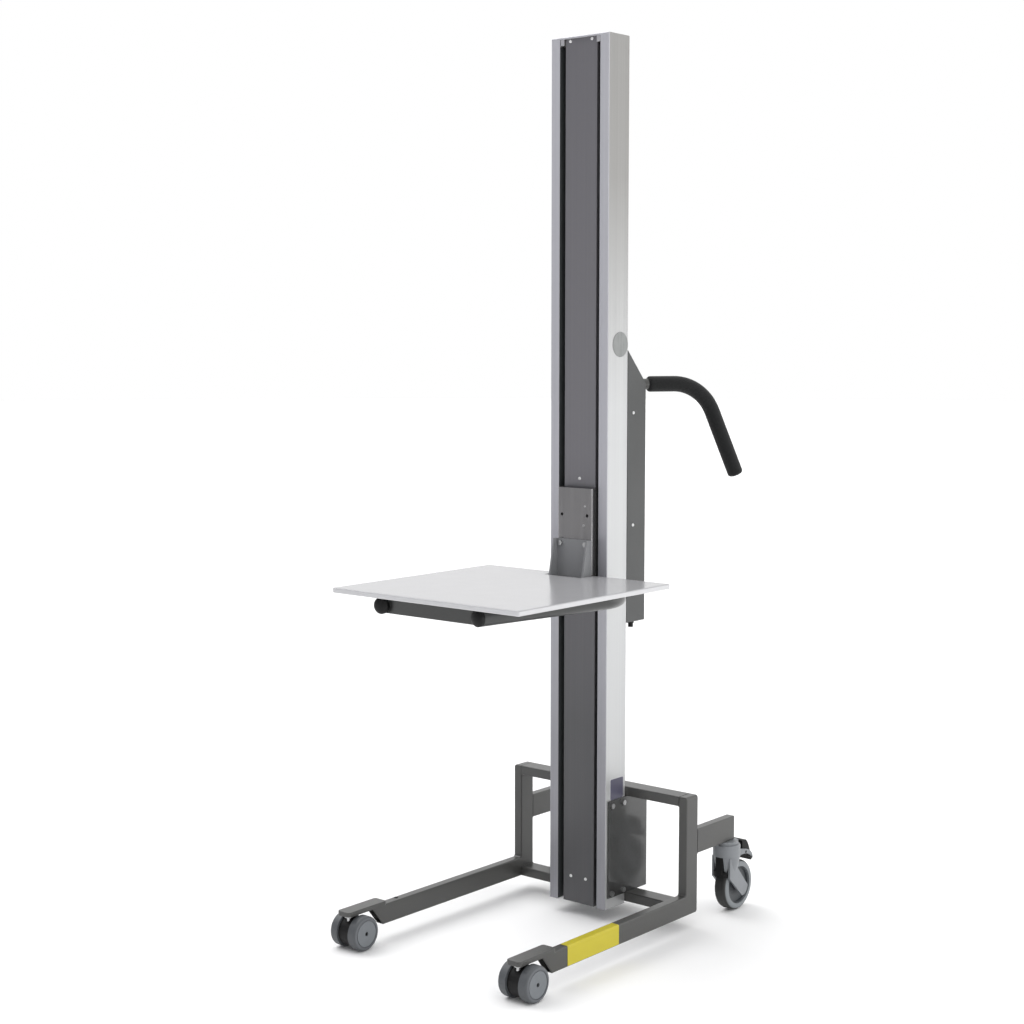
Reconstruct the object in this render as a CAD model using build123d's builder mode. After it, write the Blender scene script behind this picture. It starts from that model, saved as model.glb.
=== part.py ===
from build123d import *

import os
from math import cos, hypot, radians, sin, sqrt

# Battery-powered material lift: a slim mast on a wheeled frame, with a platform that a belt
# drive raises and lowers along it. Millimetres, +Z up, the platform faces -Y, and +X is the
# right-hand side seen from the platform. The origin is on the floor under the middle.

os.makedirs("parts", exist_ok=True)

# Mast extrusion: two hollow columns joined by a back wall, with a bay between them
mast_width = 145.0
mast_depth = 67.0
mast_top = 1779.0
mast_foot = 27.0
mast_corner = 2.5
column_width = 22.0
column_wall = 2.5
column_bore_corner = 2.0
back_wall = 3.0
slot_width = 11.0
cap_thickness = 4.0
cap_edge = 1.5
stop_clearance = 1.0
stop_depth = 14.0
stop_height = 12.0

# Front cover strip and the two blocks that hold it
cover_recess = 4.0
cover_sheet = 2.0
cover_return = 14.0
block_height = 24.0
block_lift = 4.0

# Running clearances
shaft_clearance = 0.05
belt_clearance = 0.3
roller_clearance = 0.3
bolt_clearance = 0.05
part_gap = 0.3

# Guide track, rollers and belt, all on one line behind the mast front
guide_depth = 40.0
roller_radius = 12.0
roller_width = 8.0
roller_bore = 4.0
roller_groove = 0.8
rib_width = 4.2
rib_reach = 6.0
belt_width = 18.0
belt_thickness = 2.0
pulley_radius = 24.0
pulley_flange = 4.0
flange_width = 1.5
drive_height = 110.0
idler_drop = 31.0
drive_shaft_radius = 6.0
shaft_hole_gap = 2.0
shaft_in_gearbox = 30.0
idler_axle_radius = 5.0
idler_plate = 2.0
idler_bracket_width = 28.0

# Worm gear motor behind the mast foot
gearbox_width = 76.0
gearbox_height = 84.0
gearbox_depth = 50.0
gearbox_corner = 8.0
motor_radius = 23.0
motor_length = 78.0
motor_bell = 8.0
motor_bell_step = 4.0

# Carriage plate in front of the cover, with returns that reach through the slots
plate_proud = 13.0
plate_sheet = 3.0
plate_width = 87.0
plate_bend = 5.0
plate_return = 27.0
plate_top = 887.0
plate_bottom = 650.0
tool_hole_radius = 3.3
tool_hole_spacing = 64.0
free_hole_drop = 54.6

# Inner carriage frame with its roller pins and belt clamp
inner_frame_top = 880.0
inner_frame_bottom = 690.0
inner_sheet = 4.0
web_front = 21.0
web_sheet = 3.0
inner_frame_back = 56.0
window_margin = 30.0
roller_inset = 25.0
roller_pin_head = 6.0
roller_pin_head_height = 3.0
roller_side_gap = 1.0
clamp_height = 30.0
clamp_center = 790.0
clamp_cheek = 7.0

# Tool bracket, fork tube and platform
bracket_sheet = 4.0
bracket_top = 783.6
tool_bolt_drop = 9.0
gusset_top_reach = 14.0
gusset_slope = 0.2
bolt_radius = 3.0
bolt_head_flats = 10.0
bolt_head_height = 4.0
nut_height = 4.0
fork_tube_radius = 16.0
fork_tube_wall = 2.0
fork_tip_half = 121.0
fork_corner_half = 184.0
fork_corner_depth = 36.0
fork_bend = 85.0
fork_tip_depth = 442.0
fork_cap_straight = 5.0
fork_cap_dome = 8.0
cross_bar_height = 29.0
cross_bar_thickness = 8.0
cross_bar_setback = 3.0
platform_width = 465.0
platform_depth = 458.4
platform_gap = 7.2
platform_top = 712.5
platform_thickness = 10.0
platform_corner = 4.0
platform_edge = 2.5
platform_seat = 0.1
notch_clearance = 2.0

# Wheeled base of welded rectangular tube
frame_width = 450.0
frame_tube = 20.0
frame_tube_depth = 40.0
frame_tube_edge = 2.5
frame_wall = 2.0
frame_bottom = 30.0
frame_top = 272.0
leg_reach = 391.5
leg_end_slant = 32.0
leg_inner_weld = 5.0
leg_heel_radius = 6.0
post_corner = 6.0
leg_plate_width = 33.0
leg_plate_overhang = 70.5
leg_plate_lap = 35.8
leg_plate_thickness = 9.0
leg_plate_corner = 7.0
leg_plate_edge = 2.0
rear_bar_bottom = 151.0
rear_bar_height = 50.0
rear_bar_end = 241.0

# Folded bracket that clasps the mast foot and covers the motor
mast_bracket_sheet = 3.0
mast_bracket_front = 6.5
mast_bracket_back = 142.0
mast_bracket_bend = 6.0
mast_bolt_front = 17.5
mast_bolt_back = 56.0
mast_bolt_low = 58.5
mast_bolt_high = 241.0
mast_bolt_depth = 9.0

# Control box on the back of the mast
box_depth = 65.0
box_bottom = 610.5
box_top = 1162.0
box_slope_drop = 71.0
box_wall = 2.5
box_edge = 6.0
battery_width = 110.0
battery_depth = 52.0
battery_height = 165.0
battery_edge = 4.0
board_width = 100.0
board_height = 150.0
board_thickness = 1.6
board_bottom = 850.0
standoff_height = 6.0
standoff_radius = 4.0
relay_size = 28.0
relay_height = 16.0
heatsink_width = 70.0
heatsink_height = 30.0
heatsink_depth = 22.0
heatsink_fin = 3.0
heatsink_fins = 8
socket_x = 61.0
socket_setback = 29.5
socket_radius = 5.2
socket_collar = 1.5
socket_collar_height = 4.5
socket_drop = 12.5
socket_inner_radius = 5.0
socket_inner_height = 12.0
socket_pin_radius = 2.0
socket_pin_depth = 8.0
panel_width = 96.0
panel_height = 46.0
panel_thickness = 4.0
panel_corner = 6.0
panel_upslope = 12.0
button_radius = 8.0
button_spacing = 23.0
button_proud = 2.0
button_travel = 1.5
button_stem_radius = 3.0
button_stem_length = 9.0
button_edge = 1.2

# Handles that splay back and out from the control box, then bend down
handle_radius = 11.0
handle_wall = 2.0
handle_root_x = 52.0
handle_height = 1093.0
handle_splay = 30.0
handle_straight = 78.0
handle_bend = 96.0
handle_droop = 66.8
handle_tail = 144.0
grip_radius = 16.0
grip_start = 19.0
grip_end_wall = 5.0
grip_edge = 6.0

# Front twin-wheel swivel casters
front_axis_overhang = 53.5
front_trail = 14.0
front_wheel_radius = 34.0
front_wheel_width = 19.5
front_wheel_shoulder = 6.0
front_wheel_inner_edge = 3.0
front_hub_radius = 25.0
front_hub_step = 1.5
front_hub_groove = 1.5
hood_radius = 30.0
hood_width = 27.5
hood_floor_gap = 5.0
hood_wheel_gap = 1.3
front_axle_radius = 4.0
front_axle_recess = 4.0
front_stem_radius = 5.0
front_stem_length = 23.0
front_collar_radius = 9.0
front_collar_height = 5.0

# Rear swivel casters with a brake pedal
rear_axis_reach = 228.0
rear_trail = 26.0
rear_wheel_radius = 52.0
rear_tyre_width = 30.0
rear_tyre_depth = 13.0
rear_tyre_shoulder = 8.0
rear_hub_width = 22.0
rear_hub_boss_radius = 12.0
rear_hub_boss = 1.8
rear_hub_dish = 3.0
rear_axle_radius = 5.0
rear_head_radius = 28.5
rear_head_height = 25.0
rear_head_edge = 3.0
rear_flange_radius = 24.0
rear_flange_height = 6.5
rear_stem_radius = 6.0
rear_stem_length = 22.0
fork_leg_thickness = 5.0
fork_leg_gap = 2.5
fork_skirt_height = 31.0
fork_skirt_taper = 11.0
fork_skirt_front = 18.0
fork_skirt_opening = 9.0
fork_leg_front = 20.0
fork_leg_knee = 75.6
fork_leg_back = 4.5
fork_leg_waist = 92.6
fork_leg_waist_back = 9.5
fork_leg_end_radius = 21.5
fork_leg_end_start = -88.0
fork_leg_end_sweep = 80.0
fork_arm_top = 131.0
fork_arm_back = 50.0
fork_arm_drop = 123.5
fork_arm_tip_back = 66.0
fork_arm_tip = 104.5
fork_arm_underside = 114.0
pedal_axis_back = 39.0
pedal_axis_height = 121.0
pedal_barrel_radius = 6.0
pedal_pin_radius = 3.0
pedal_reach = 74.0
pedal_tip_height = 101.0
pedal_thickness = 8.0
pedal_crown = 145.0
pedal_knee_back = 58.0
pedal_knee_height = 128.5
fender_gap = 11.0
fender_thickness = 6.0
fender_start = 104.0
fender_end = 88.0
guard_low = 78.0
guard_thickness = 5.0

# The whole machine is centred front to back between the platform and the grip ends
droop = radians(handle_droop)
splay = radians(handle_splay)
handle_run = handle_straight + handle_bend * sin(droop) + handle_tail * cos(droop)
handle_fall = cos(splay) * cos(droop)
grip_overhang = grip_edge - grip_edge * handle_fall
grip_overhang += (grip_radius - grip_edge) * sqrt(1 - handle_fall**2)
rear_reach = mast_depth + box_depth + handle_run * cos(splay) + grip_overhang
front_reach = platform_gap + platform_depth
mast_front = (front_reach - rear_reach) / 2
mast_mid = mast_front + mast_depth / 2
mast_back = mast_front + mast_depth


def write_piece(piece, name):
    """Labels a finished piece and writes it as its own file."""
    piece.label = name
    export_step(piece, f"parts/{name}.step")


def write_pair(piece, name):
    """Writes a right-hand piece and its mirror image on the left."""
    with BuildPart() as other_side:
        mirror(piece, about=Plane.YZ)
    write_piece(piece, f"{name}_right")
    write_piece(other_side.part, f"{name}_left")


def across(y):
    """The upright plane at a given y, with local x along +X and local y along +Z."""
    return Plane.XZ.offset(-y)


# Mast extrusion
bay_half = mast_width / 2 - column_width
cover_half = bay_half - slot_width
guide_y = mast_front + guide_depth
mast_length = mast_top - cap_thickness - mast_foot
track_half = roller_radius + roller_clearance + rib_width / 2
bolt_rows = [
    (mast_front + mast_bolt_front, mast_bolt_low),
    (mast_front + mast_bolt_back, mast_bolt_low),
    (mast_front + mast_bolt_front, mast_bolt_high),
    (mast_front + mast_bolt_back, mast_bolt_high),
]

with BuildPart() as mast_profile:
    with BuildSketch(Plane.XY.offset(mast_foot)):
        with Locations((0, mast_mid)):
            RectangleRounded(mast_width, mast_depth, mast_corner)
        with Locations((0, mast_front)):
            Rectangle(
                2 * bay_half,
                mast_depth - back_wall,
                align=(Align.CENTER, Align.MIN),
                mode=Mode.SUBTRACT,
            )
        with GridLocations(mast_width - column_width, 1, 2, 1):
            with Locations((0, mast_mid)):
                RectangleRounded(
                    column_width - 2 * column_wall,
                    mast_depth - 2 * column_wall,
                    column_bore_corner,
                    mode=Mode.SUBTRACT,
                )
        with GridLocations(2 * bay_half - rib_reach, 2 * track_half, 2, 2):
            with Locations((0, guide_y)):
                Rectangle(rib_reach, rib_width)
    extrude(amount=mast_length)
    with BuildSketch(across(mast_back)):
        with Locations((0, drive_height)):
            Circle(drive_shaft_radius + shaft_hole_gap)
    extrude(amount=back_wall, mode=Mode.SUBTRACT)
    for side in (-1, 1):
        with BuildSketch(Plane.YZ.offset(side * mast_width / 2)):
            with Locations(*bolt_rows):
                Circle(bolt_radius + bolt_clearance)
        extrude(amount=-side * column_width / 2, mode=Mode.SUBTRACT)
write_piece(mast_profile.part, "mast_profile")

# Top cap with a stop tongue in each slot
with BuildPart() as mast_top_cap:
    with BuildSketch(Plane.XY.offset(mast_top - cap_thickness)):
        with Locations((0, mast_mid)):
            RectangleRounded(mast_width, mast_depth, mast_corner)
    extrude(amount=cap_thickness)
    fillet(mast_top_cap.faces().sort_by(Axis.Z)[-1].edges(), cap_edge)
    with BuildSketch(Plane.XY.offset(mast_top - cap_thickness)):
        with GridLocations(bay_half + cover_half, 1, 2, 1):
            with Locations((0, mast_front + stop_clearance)):
                Rectangle(
                    slot_width - 2 * stop_clearance,
                    stop_depth,
                    align=(Align.CENTER, Align.MIN),
                )
    extrude(amount=-stop_height)
write_piece(mast_top_cap.part, "mast_top_cap")

# Front cover: a shallow channel between the two slots
cover_face = mast_front + cover_recess
cover_inside = cover_half - cover_sheet

with BuildPart() as front_cover:
    with BuildSketch(Plane.XY.offset(mast_foot)):
        with Locations((0, cover_face)):
            Rectangle(2 * cover_half, cover_return, align=(Align.CENTER, Align.MIN))
        with Locations((0, cover_face + cover_sheet)):
            Rectangle(
                2 * cover_inside,
                cover_return,
                align=(Align.CENTER, Align.MIN),
                mode=Mode.SUBTRACT,
            )
    extrude(amount=mast_length)
    fillet(front_cover.edges().filter_by(Axis.Z).group_by(Axis.Y)[0], cover_sheet * 0.7)
write_piece(front_cover.part, "front_cover")

# Spacer blocks that carry the cover at both ends
block_depth = mast_back - back_wall - cover_face - cover_sheet
top_block_bottom = mast_top - cap_thickness - block_height

with BuildPart() as cover_blocks:
    for level in (mast_foot + block_lift, top_block_bottom):
        with BuildSketch(Plane.XY.offset(level)):
            with Locations((0, cover_face + cover_sheet)):
                Rectangle(2 * cover_inside, block_depth, align=(Align.CENTER, Align.MIN))
        extrude(amount=block_height)
write_piece(cover_blocks.part, "cover_blocks")

# Idler bracket with its fixed axle, hung from the top block
idler_height = mast_top - cap_thickness - block_height - idler_drop
pulley_width = belt_width + 2 * part_gap
pulley_half = pulley_width / 2 + flange_width
idler_plate_y = pulley_half + part_gap

with BuildPart() as idler_bracket:
    for start in (guide_y - idler_plate_y, guide_y + idler_plate_y + idler_plate):
        with BuildSketch(across(start)):
            with Locations((0, idler_height)):
                Circle(idler_bracket_width / 2)
                Rectangle(
                    idler_bracket_width,
                    top_block_bottom - idler_height,
                    align=(Align.CENTER, Align.MIN),
                )
        extrude(amount=idler_plate)
    with BuildSketch(Plane.XY.offset(top_block_bottom)):
        with Locations((0, guide_y)):
            Rectangle(idler_bracket_width, 2 * (idler_plate_y + idler_plate))
    extrude(amount=-idler_plate)
    with BuildSketch(across(guide_y + idler_plate_y)):
        with Locations((0, idler_height)):
            Circle(idler_axle_radius)
    extrude(amount=2 * idler_plate_y)
write_piece(idler_bracket.part, "idler_bracket")

# Belt loop over the two pulleys
belt_inner = pulley_radius + belt_clearance
belt_outer = belt_inner + belt_thickness
belt_span = idler_height - drive_height

with BuildPart() as drive_belt:
    with BuildSketch(across(guide_y + belt_width / 2)):
        with Locations((0, (drive_height + idler_height) / 2)):
            SlotCenterToCenter(belt_span, 2 * belt_outer, rotation=90)
            SlotCenterToCenter(belt_span, 2 * belt_inner, rotation=90, mode=Mode.SUBTRACT)
    extrude(amount=belt_width)
write_piece(drive_belt.part, "drive_belt")


def flanged_pulley(height):
    """The rim and flanges of a belt pulley centred on the guide line."""
    with BuildPart() as pulley:
        with BuildSketch(across(guide_y + pulley_width / 2)):
            with Locations((0, height)):
                Circle(pulley_radius)
        extrude(amount=pulley_width)
        for start in (guide_y + pulley_half, guide_y - pulley_width / 2):
            with BuildSketch(across(start)):
                with Locations((0, height)):
                    Circle(pulley_radius + pulley_flange)
            extrude(amount=flange_width)
    return pulley.part


with BuildPart() as drive_pulley:
    add(flanged_pulley(drive_height))
    with BuildSketch(across(mast_back + shaft_in_gearbox)):
        with Locations((0, drive_height)):
            Circle(drive_shaft_radius)
    extrude(amount=mast_back + shaft_in_gearbox - guide_y)
write_piece(drive_pulley.part, "drive_pulley")

with BuildPart() as idler_pulley:
    add(flanged_pulley(idler_height))
    with BuildSketch(across(guide_y + pulley_half)):
        with Locations((0, idler_height)):
            Circle(idler_axle_radius + shaft_clearance)
    extrude(amount=2 * pulley_half, mode=Mode.SUBTRACT)
write_piece(idler_pulley.part, "idler_pulley")

# Worm gear motor on the back of the mast foot
with BuildPart() as gear_motor:
    with BuildSketch(across(mast_back)):
        with Locations((0, drive_height)):
            RectangleRounded(gearbox_width, gearbox_height, gearbox_corner)
    extrude(amount=-gearbox_depth)
    fillet(gear_motor.faces().sort_by(Axis.Y)[-1].edges(), gearbox_corner / 2)
    motor_base = drive_height + gearbox_height / 2
    for radius, height in (
        (motor_radius, motor_length),
        (motor_radius - motor_bell_step, motor_length + motor_bell),
    ):
        with BuildSketch(Plane.XY.offset(motor_base)):
            with Locations((0, mast_back + gearbox_depth / 2)):
                Circle(radius)
        extrude(amount=height)
    with BuildSketch(across(mast_back)):
        with Locations((0, drive_height)):
            Circle(drive_shaft_radius + shaft_clearance)
    extrude(amount=-(shaft_in_gearbox + part_gap), mode=Mode.SUBTRACT)
write_piece(gear_motor.part, "gear_motor")

# Side frame: leg and post in one mitred tube, with the caster plate on the leg's tip
frame_half = frame_width / 2
frame_inner = frame_half - frame_tube
wheel_line = frame_half - frame_tube / 2
leg_top = frame_bottom + frame_tube_depth
post_back = mast_back + frame_tube_depth
leg_tip = mast_front - leg_reach
leg_plate_length = leg_plate_overhang + leg_plate_lap
plate_mid = leg_tip + leg_plate_lap - leg_plate_length / 2

with BuildPart() as leg_plate:
    with BuildSketch(Plane.XY.offset(leg_top)):
        with Locations((wheel_line, plate_mid)):
            RectangleRounded(leg_plate_width, leg_plate_length, leg_plate_corner)
    extrude(amount=leg_plate_thickness)
    fillet(leg_plate.faces().sort_by(Axis.Z)[-1].edges(), leg_plate_edge)

with BuildPart() as side_frame:
    with BuildSketch(Plane.YZ.offset(frame_inner)) as side_outline:
        with BuildLine():
            Polyline(
                (leg_tip, leg_top),
                (mast_back, leg_top),
                (mast_back, frame_top),
                (post_back, frame_top),
                (post_back, frame_bottom),
                (leg_tip + leg_end_slant, frame_bottom),
                close=True,
            )
        make_face()
        corners = side_outline.vertices()
        fillet(corners.sort_by_distance((mast_back, leg_top))[0], leg_inner_weld)
        corners = side_outline.vertices()
        fillet(corners.sort_by_distance((post_back, frame_bottom))[0], leg_heel_radius)
    extrude(amount=frame_tube)
    top_edges = side_frame.edges().filter_by(Axis.Y).group_by(Axis.Z)[-1]
    fillet(top_edges.sort_by(Axis.X)[-1], post_corner)
    outer_edges = side_frame.faces().sort_by(Axis.X)[0].edges()
    outer_face = side_frame.faces().sort_by(Axis.X)[-1]
    outer_edges += outer_face.edges().sort_by(Axis.Z)[:-1]
    top_face = side_frame.faces().sort_by(Axis.Z)[-1]
    outer_edges += top_face.edges().filter_by(Axis.X)
    outer_edges += side_frame.edges().filter_by(GeomType.CIRCLE).group_by(Axis.Z)[-1]
    fillet(outer_edges, frame_tube_edge)
    with BuildSketch(Plane.YZ.offset(frame_inner + frame_wall)):
        with BuildLine():
            Polyline(
                (leg_tip - leg_end_slant, leg_top - frame_wall),
                (mast_back + frame_wall, leg_top - frame_wall),
                (mast_back + frame_wall, frame_top - post_corner),
                (post_back - frame_wall, frame_top - post_corner),
                (post_back - frame_wall, frame_bottom + frame_wall),
                (leg_tip - leg_end_slant, frame_bottom + frame_wall),
                close=True,
            )
        make_face()
    extrude(amount=frame_tube - 2 * frame_wall, mode=Mode.SUBTRACT)
    add(leg_plate.part)
write_pair(side_frame.part, "side_frame")


def cross_tube(level):
    """A hollow tube between the two posts, with its underside at the given height."""
    with BuildPart() as bar:
        with BuildSketch(Plane.YZ.offset(-frame_inner)):
            with Locations((mast_back + frame_tube_depth / 2, level + frame_tube / 2)):
                RectangleRounded(frame_tube_depth, frame_tube, frame_tube_edge)
                Rectangle(
                    frame_tube_depth - 2 * frame_wall,
                    frame_tube - 2 * frame_wall,
                    mode=Mode.SUBTRACT,
                )
        extrude(amount=2 * frame_inner)
    return bar.part


write_piece(cross_tube(frame_top - frame_tube), "top_bar")
write_piece(cross_tube(frame_bottom), "bottom_bar")

# Rear bars that carry the back casters
with BuildPart() as rear_bar:
    with BuildSketch(across(post_back)):
        with Locations((wheel_line, rear_bar_bottom + rear_bar_height / 2)):
            RectangleRounded(frame_tube, rear_bar_height, frame_tube_edge)
    extrude(amount=-(mast_front + rear_bar_end - post_back))
    fillet(rear_bar.faces().sort_by(Axis.Y)[-1].edges(), frame_tube_edge / 2)
    with BuildSketch(across(post_back)):
        with Locations((wheel_line, rear_bar_bottom + rear_bar_height / 2)):
            Rectangle(frame_tube - 2 * frame_wall, rear_bar_height - 2 * frame_wall)
    extrude(amount=-(mast_front + rear_bar_end - post_back - frame_wall), mode=Mode.SUBTRACT)
write_pair(rear_bar.part, "rear_bar")

# Folded bracket round the mast foot
bracket_low = frame_bottom + frame_tube
bracket_high = frame_top - frame_tube
bracket_half = mast_width / 2 + mast_bracket_sheet
bracket_front = mast_front + mast_bracket_front
bracket_back = mast_front + mast_bracket_back

with BuildPart() as mast_bracket:
    with BuildSketch(Plane.XY.offset(bracket_low)):
        with Locations((0, bracket_front)):
            Rectangle(
                2 * bracket_half, bracket_back - bracket_front, align=(Align.CENTER, Align.MIN)
            )
            Rectangle(
                mast_width,
                bracket_back - bracket_front - mast_bracket_sheet,
                align=(Align.CENTER, Align.MIN),
                mode=Mode.SUBTRACT,
            )
    extrude(amount=bracket_high - bracket_low)
    rear_folds = mast_bracket.edges().filter_by(Axis.Z).group_by(Axis.Y)
    fillet(rear_folds[-1], mast_bracket_bend)
    fillet(rear_folds[-2], mast_bracket_bend - mast_bracket_sheet)
    with BuildSketch(Plane.XY.offset(bracket_high)):
        with Locations((0, mast_back)):
            Rectangle(
                mast_width,
                bracket_back - mast_bracket_bend - mast_back,
                align=(Align.CENTER, Align.MIN),
            )
    extrude(amount=-mast_bracket_sheet)
    for side in (-1, 1):
        with BuildSketch(Plane.YZ.offset(side * bracket_half)):
            with Locations(*bolt_rows):
                Circle(bolt_radius + bolt_clearance)
        extrude(amount=-side * mast_bracket_sheet, mode=Mode.SUBTRACT)
write_piece(mast_bracket.part, "mast_bracket")

head_radius = bolt_head_flats / sqrt(3)

with BuildPart() as bracket_bolts:
    for side in (-1, 1):
        with BuildSketch(Plane.YZ.offset(side * bracket_half)):
            with Locations(*bolt_rows):
                RegularPolygon(head_radius, 6)
        extrude(amount=side * bolt_head_height)
        with BuildSketch(Plane.YZ.offset(side * bracket_half)):
            with Locations(*bolt_rows):
                Circle(bolt_radius)
        extrude(amount=-side * mast_bolt_depth)
write_piece(bracket_bolts.part, "bracket_bolts")

# Control box shell, open towards the mast
box_back = mast_back + box_depth
box_shoulder = box_top - box_slope_drop
slope_length = hypot(box_depth, box_slope_drop)
slope_wall = box_wall * slope_length / box_depth
slope_normal = (0, box_slope_drop / slope_length, box_depth / slope_length)
panel_plane = Plane(
    origin=(0, (mast_back + box_back) / 2, (box_top + box_shoulder) / 2),
    x_dir=(1, 0, 0),
    z_dir=slope_normal,
)
button_places = {
    "up_button": -panel_upslope - button_spacing / 2,
    "down_button": -panel_upslope + button_spacing / 2,
}
handle_plane = Plane(
    origin=(handle_root_x, box_back, handle_height),
    x_dir=(sin(splay), cos(splay), 0),
    z_dir=(cos(splay), -sin(splay), 0),
)
handle_inside = box_depth / cos(splay)


def handle_line(start, end_margin):
    """The bent centre line of the right handle, in the open line builder's plane."""
    straight = Line((start, 0), (handle_straight, 0))
    bend = JernArc(straight @ 1, (1, 0), handle_bend, -handle_droop)
    PolarLine(bend @ 1, handle_tail - end_margin, -handle_droop)


def swept_handle(start, end_margin, radius):
    """A round bar along the right handle's centre line."""
    with BuildPart() as bar:
        with BuildLine(handle_plane) as path:
            handle_line(start, end_margin)
        with BuildSketch(Plane(origin=path.line @ 0, z_dir=path.line % 0)):
            Circle(radius)
        sweep()
    return bar.part


tube_outside = swept_handle(-2 * handle_inside, grip_end_wall, handle_radius)

with BuildPart() as handle:
    add(tube_outside)
    add(swept_handle(-2 * handle_inside, grip_end_wall, handle_radius - handle_wall), mode=Mode.SUBTRACT)
    split(bisect_by=Plane.XZ.offset(-mast_back), keep=Keep.BOTTOM)
write_pair(handle.part, "handle")

with BuildPart() as grip:
    add(swept_handle(grip_start, 0, grip_radius))
    fillet(grip.edges().filter_by(GeomType.CIRCLE), grip_edge)
    add(tube_outside, mode=Mode.SUBTRACT)
write_pair(grip.part, "grip")

with BuildPart() as control_box:
    with BuildSketch(Plane.YZ.offset(-mast_width / 2)):
        with BuildLine():
            Polyline(
                (mast_back, box_bottom),
                (box_back, box_bottom),
                (box_back, box_shoulder),
                (mast_back, box_top),
                close=True,
            )
        make_face()
    extrude(amount=mast_width)
    rear_edges = control_box.faces().sort_by(Axis.Y)[-1].edges()
    fillet(rear_edges, box_edge)
    with BuildSketch(Plane.YZ.offset(-mast_width / 2 + box_wall)):
        with BuildLine():
            Polyline(
                (mast_back, box_bottom + box_wall),
                (box_back - box_wall, box_bottom + box_wall),
                (box_back - box_wall, box_shoulder + box_slope_drop * box_wall / box_depth - slope_wall),
                (mast_back, box_top - slope_wall),
                close=True,
            )
        make_face()
    extrude(amount=mast_width - 2 * box_wall, mode=Mode.SUBTRACT)
    with BuildSketch(panel_plane):
        for place in button_places.values():
            with Locations((0, place)):
                Circle(button_stem_radius + part_gap)
    extrude(amount=-2 * box_wall, mode=Mode.SUBTRACT)
    with BuildSketch(Plane.XY.offset(box_bottom)):
        with Locations((socket_x, mast_back + socket_setback)):
            Circle(socket_inner_radius)
    extrude(amount=box_wall, mode=Mode.SUBTRACT)
    for side in (-1, 1):
        axis_dir = (side * sin(splay), cos(splay), 0)
        with BuildSketch(Plane(origin=(side * handle_root_x, box_back, handle_height), z_dir=axis_dir)):
            Circle(handle_radius + part_gap)
        extrude(amount=handle_inside / 2, both=True, mode=Mode.SUBTRACT)
write_piece(control_box.part, "control_box")

# Battery and circuit board inside the box
with BuildPart() as battery_pack:
    with BuildSketch(Plane.XY.offset(box_bottom + box_wall)):
        with Locations((-mast_width / 2 + box_wall + battery_width / 2, mast_back)):
            Rectangle(battery_width, battery_depth, align=(Align.CENTER, Align.MIN))
    extrude(amount=battery_height)
    fillet(battery_pack.edges().filter_by(Axis.Z), battery_edge)
write_piece(battery_pack.part, "battery_pack")

board_face = mast_back + standoff_height + board_thickness
board_mid = board_bottom + board_height / 2

with BuildPart() as control_board:
    with BuildSketch(across(board_face)):
        with Locations((0, board_mid)):
            Rectangle(board_width, board_height)
    extrude(amount=board_thickness)
    with BuildSketch(across(mast_back + standoff_height)):
        with Locations((0, board_mid)):
            with GridLocations(
                board_width - 3 * standoff_radius, board_height - 3 * standoff_radius, 2, 2
            ):
                Circle(standoff_radius)
    extrude(amount=standoff_height)
    with BuildSketch(across(board_face)):
        with Locations((0, board_bottom + relay_size)):
            with GridLocations(1.4 * relay_size, 1, 2, 1):
                Rectangle(relay_size, relay_size)
    extrude(amount=-relay_height)
    fin_pitch = (heatsink_width - heatsink_fin) / (heatsink_fins - 1)
    with BuildSketch(across(board_face)):
        with Locations((0, board_bottom + board_height - heatsink_height)):
            Rectangle(heatsink_width, heatsink_height)
    extrude(amount=-heatsink_fin)
    with BuildSketch(across(board_face)):
        with Locations((0, board_bottom + board_height - heatsink_height)):
            with GridLocations(fin_pitch, 1, heatsink_fins, 1):
                Rectangle(heatsink_fin, heatsink_height)
    extrude(amount=-heatsink_depth)
write_piece(control_board.part, "control_board")

# Charging socket in the floor of the box
with BuildPart() as charge_socket:
    with BuildSketch(Plane.XY.offset(box_bottom)):
        with Locations((socket_x, mast_back + socket_setback)):
            Circle(socket_radius)
    extrude(amount=-socket_drop)
    with BuildSketch(Plane.XY.offset(box_bottom)):
        with Locations((socket_x, mast_back + socket_setback)):
            Circle(socket_radius + socket_collar)
    extrude(amount=-socket_collar_height)
    with BuildSketch(Plane.XY.offset(box_bottom)):
        with Locations((socket_x, mast_back + socket_setback)):
            Circle(socket_inner_radius)
    extrude(amount=socket_inner_height)
    with BuildSketch(Plane.XY.offset(box_bottom - socket_drop)):
        with Locations((socket_x, mast_back + socket_setback)):
            Circle(socket_pin_radius)
    extrude(amount=socket_pin_depth, mode=Mode.SUBTRACT)
write_piece(charge_socket.part, "charge_socket")

# Control panel and its two push buttons on the sloping face
with BuildPart() as control_panel:
    with BuildSketch(panel_plane):
        with Locations((0, -panel_upslope)):
            RectangleRounded(panel_width, panel_height, panel_corner)
        for place in button_places.values():
            with Locations((0, place)):
                Circle(button_radius + part_gap, mode=Mode.SUBTRACT)
    extrude(amount=panel_thickness)
write_piece(control_panel.part, "control_panel")

button_floor = button_travel + part_gap
for name, place in button_places.items():
    with BuildPart() as button:
        with BuildSketch(panel_plane.offset(button_floor)):
            with Locations((0, place)):
                Circle(button_radius)
        extrude(amount=panel_thickness + button_proud - button_floor)
        press_axis = Axis(panel_plane.origin, panel_plane.z_dir)
        fillet(button.edges().sort_by(press_axis)[-1], button_edge)
        with BuildSketch(panel_plane.offset(button_floor)):
            with Locations((0, place)):
                Circle(button_stem_radius)
        extrude(amount=-button_stem_length)
    write_piece(button.part, name)

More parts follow.
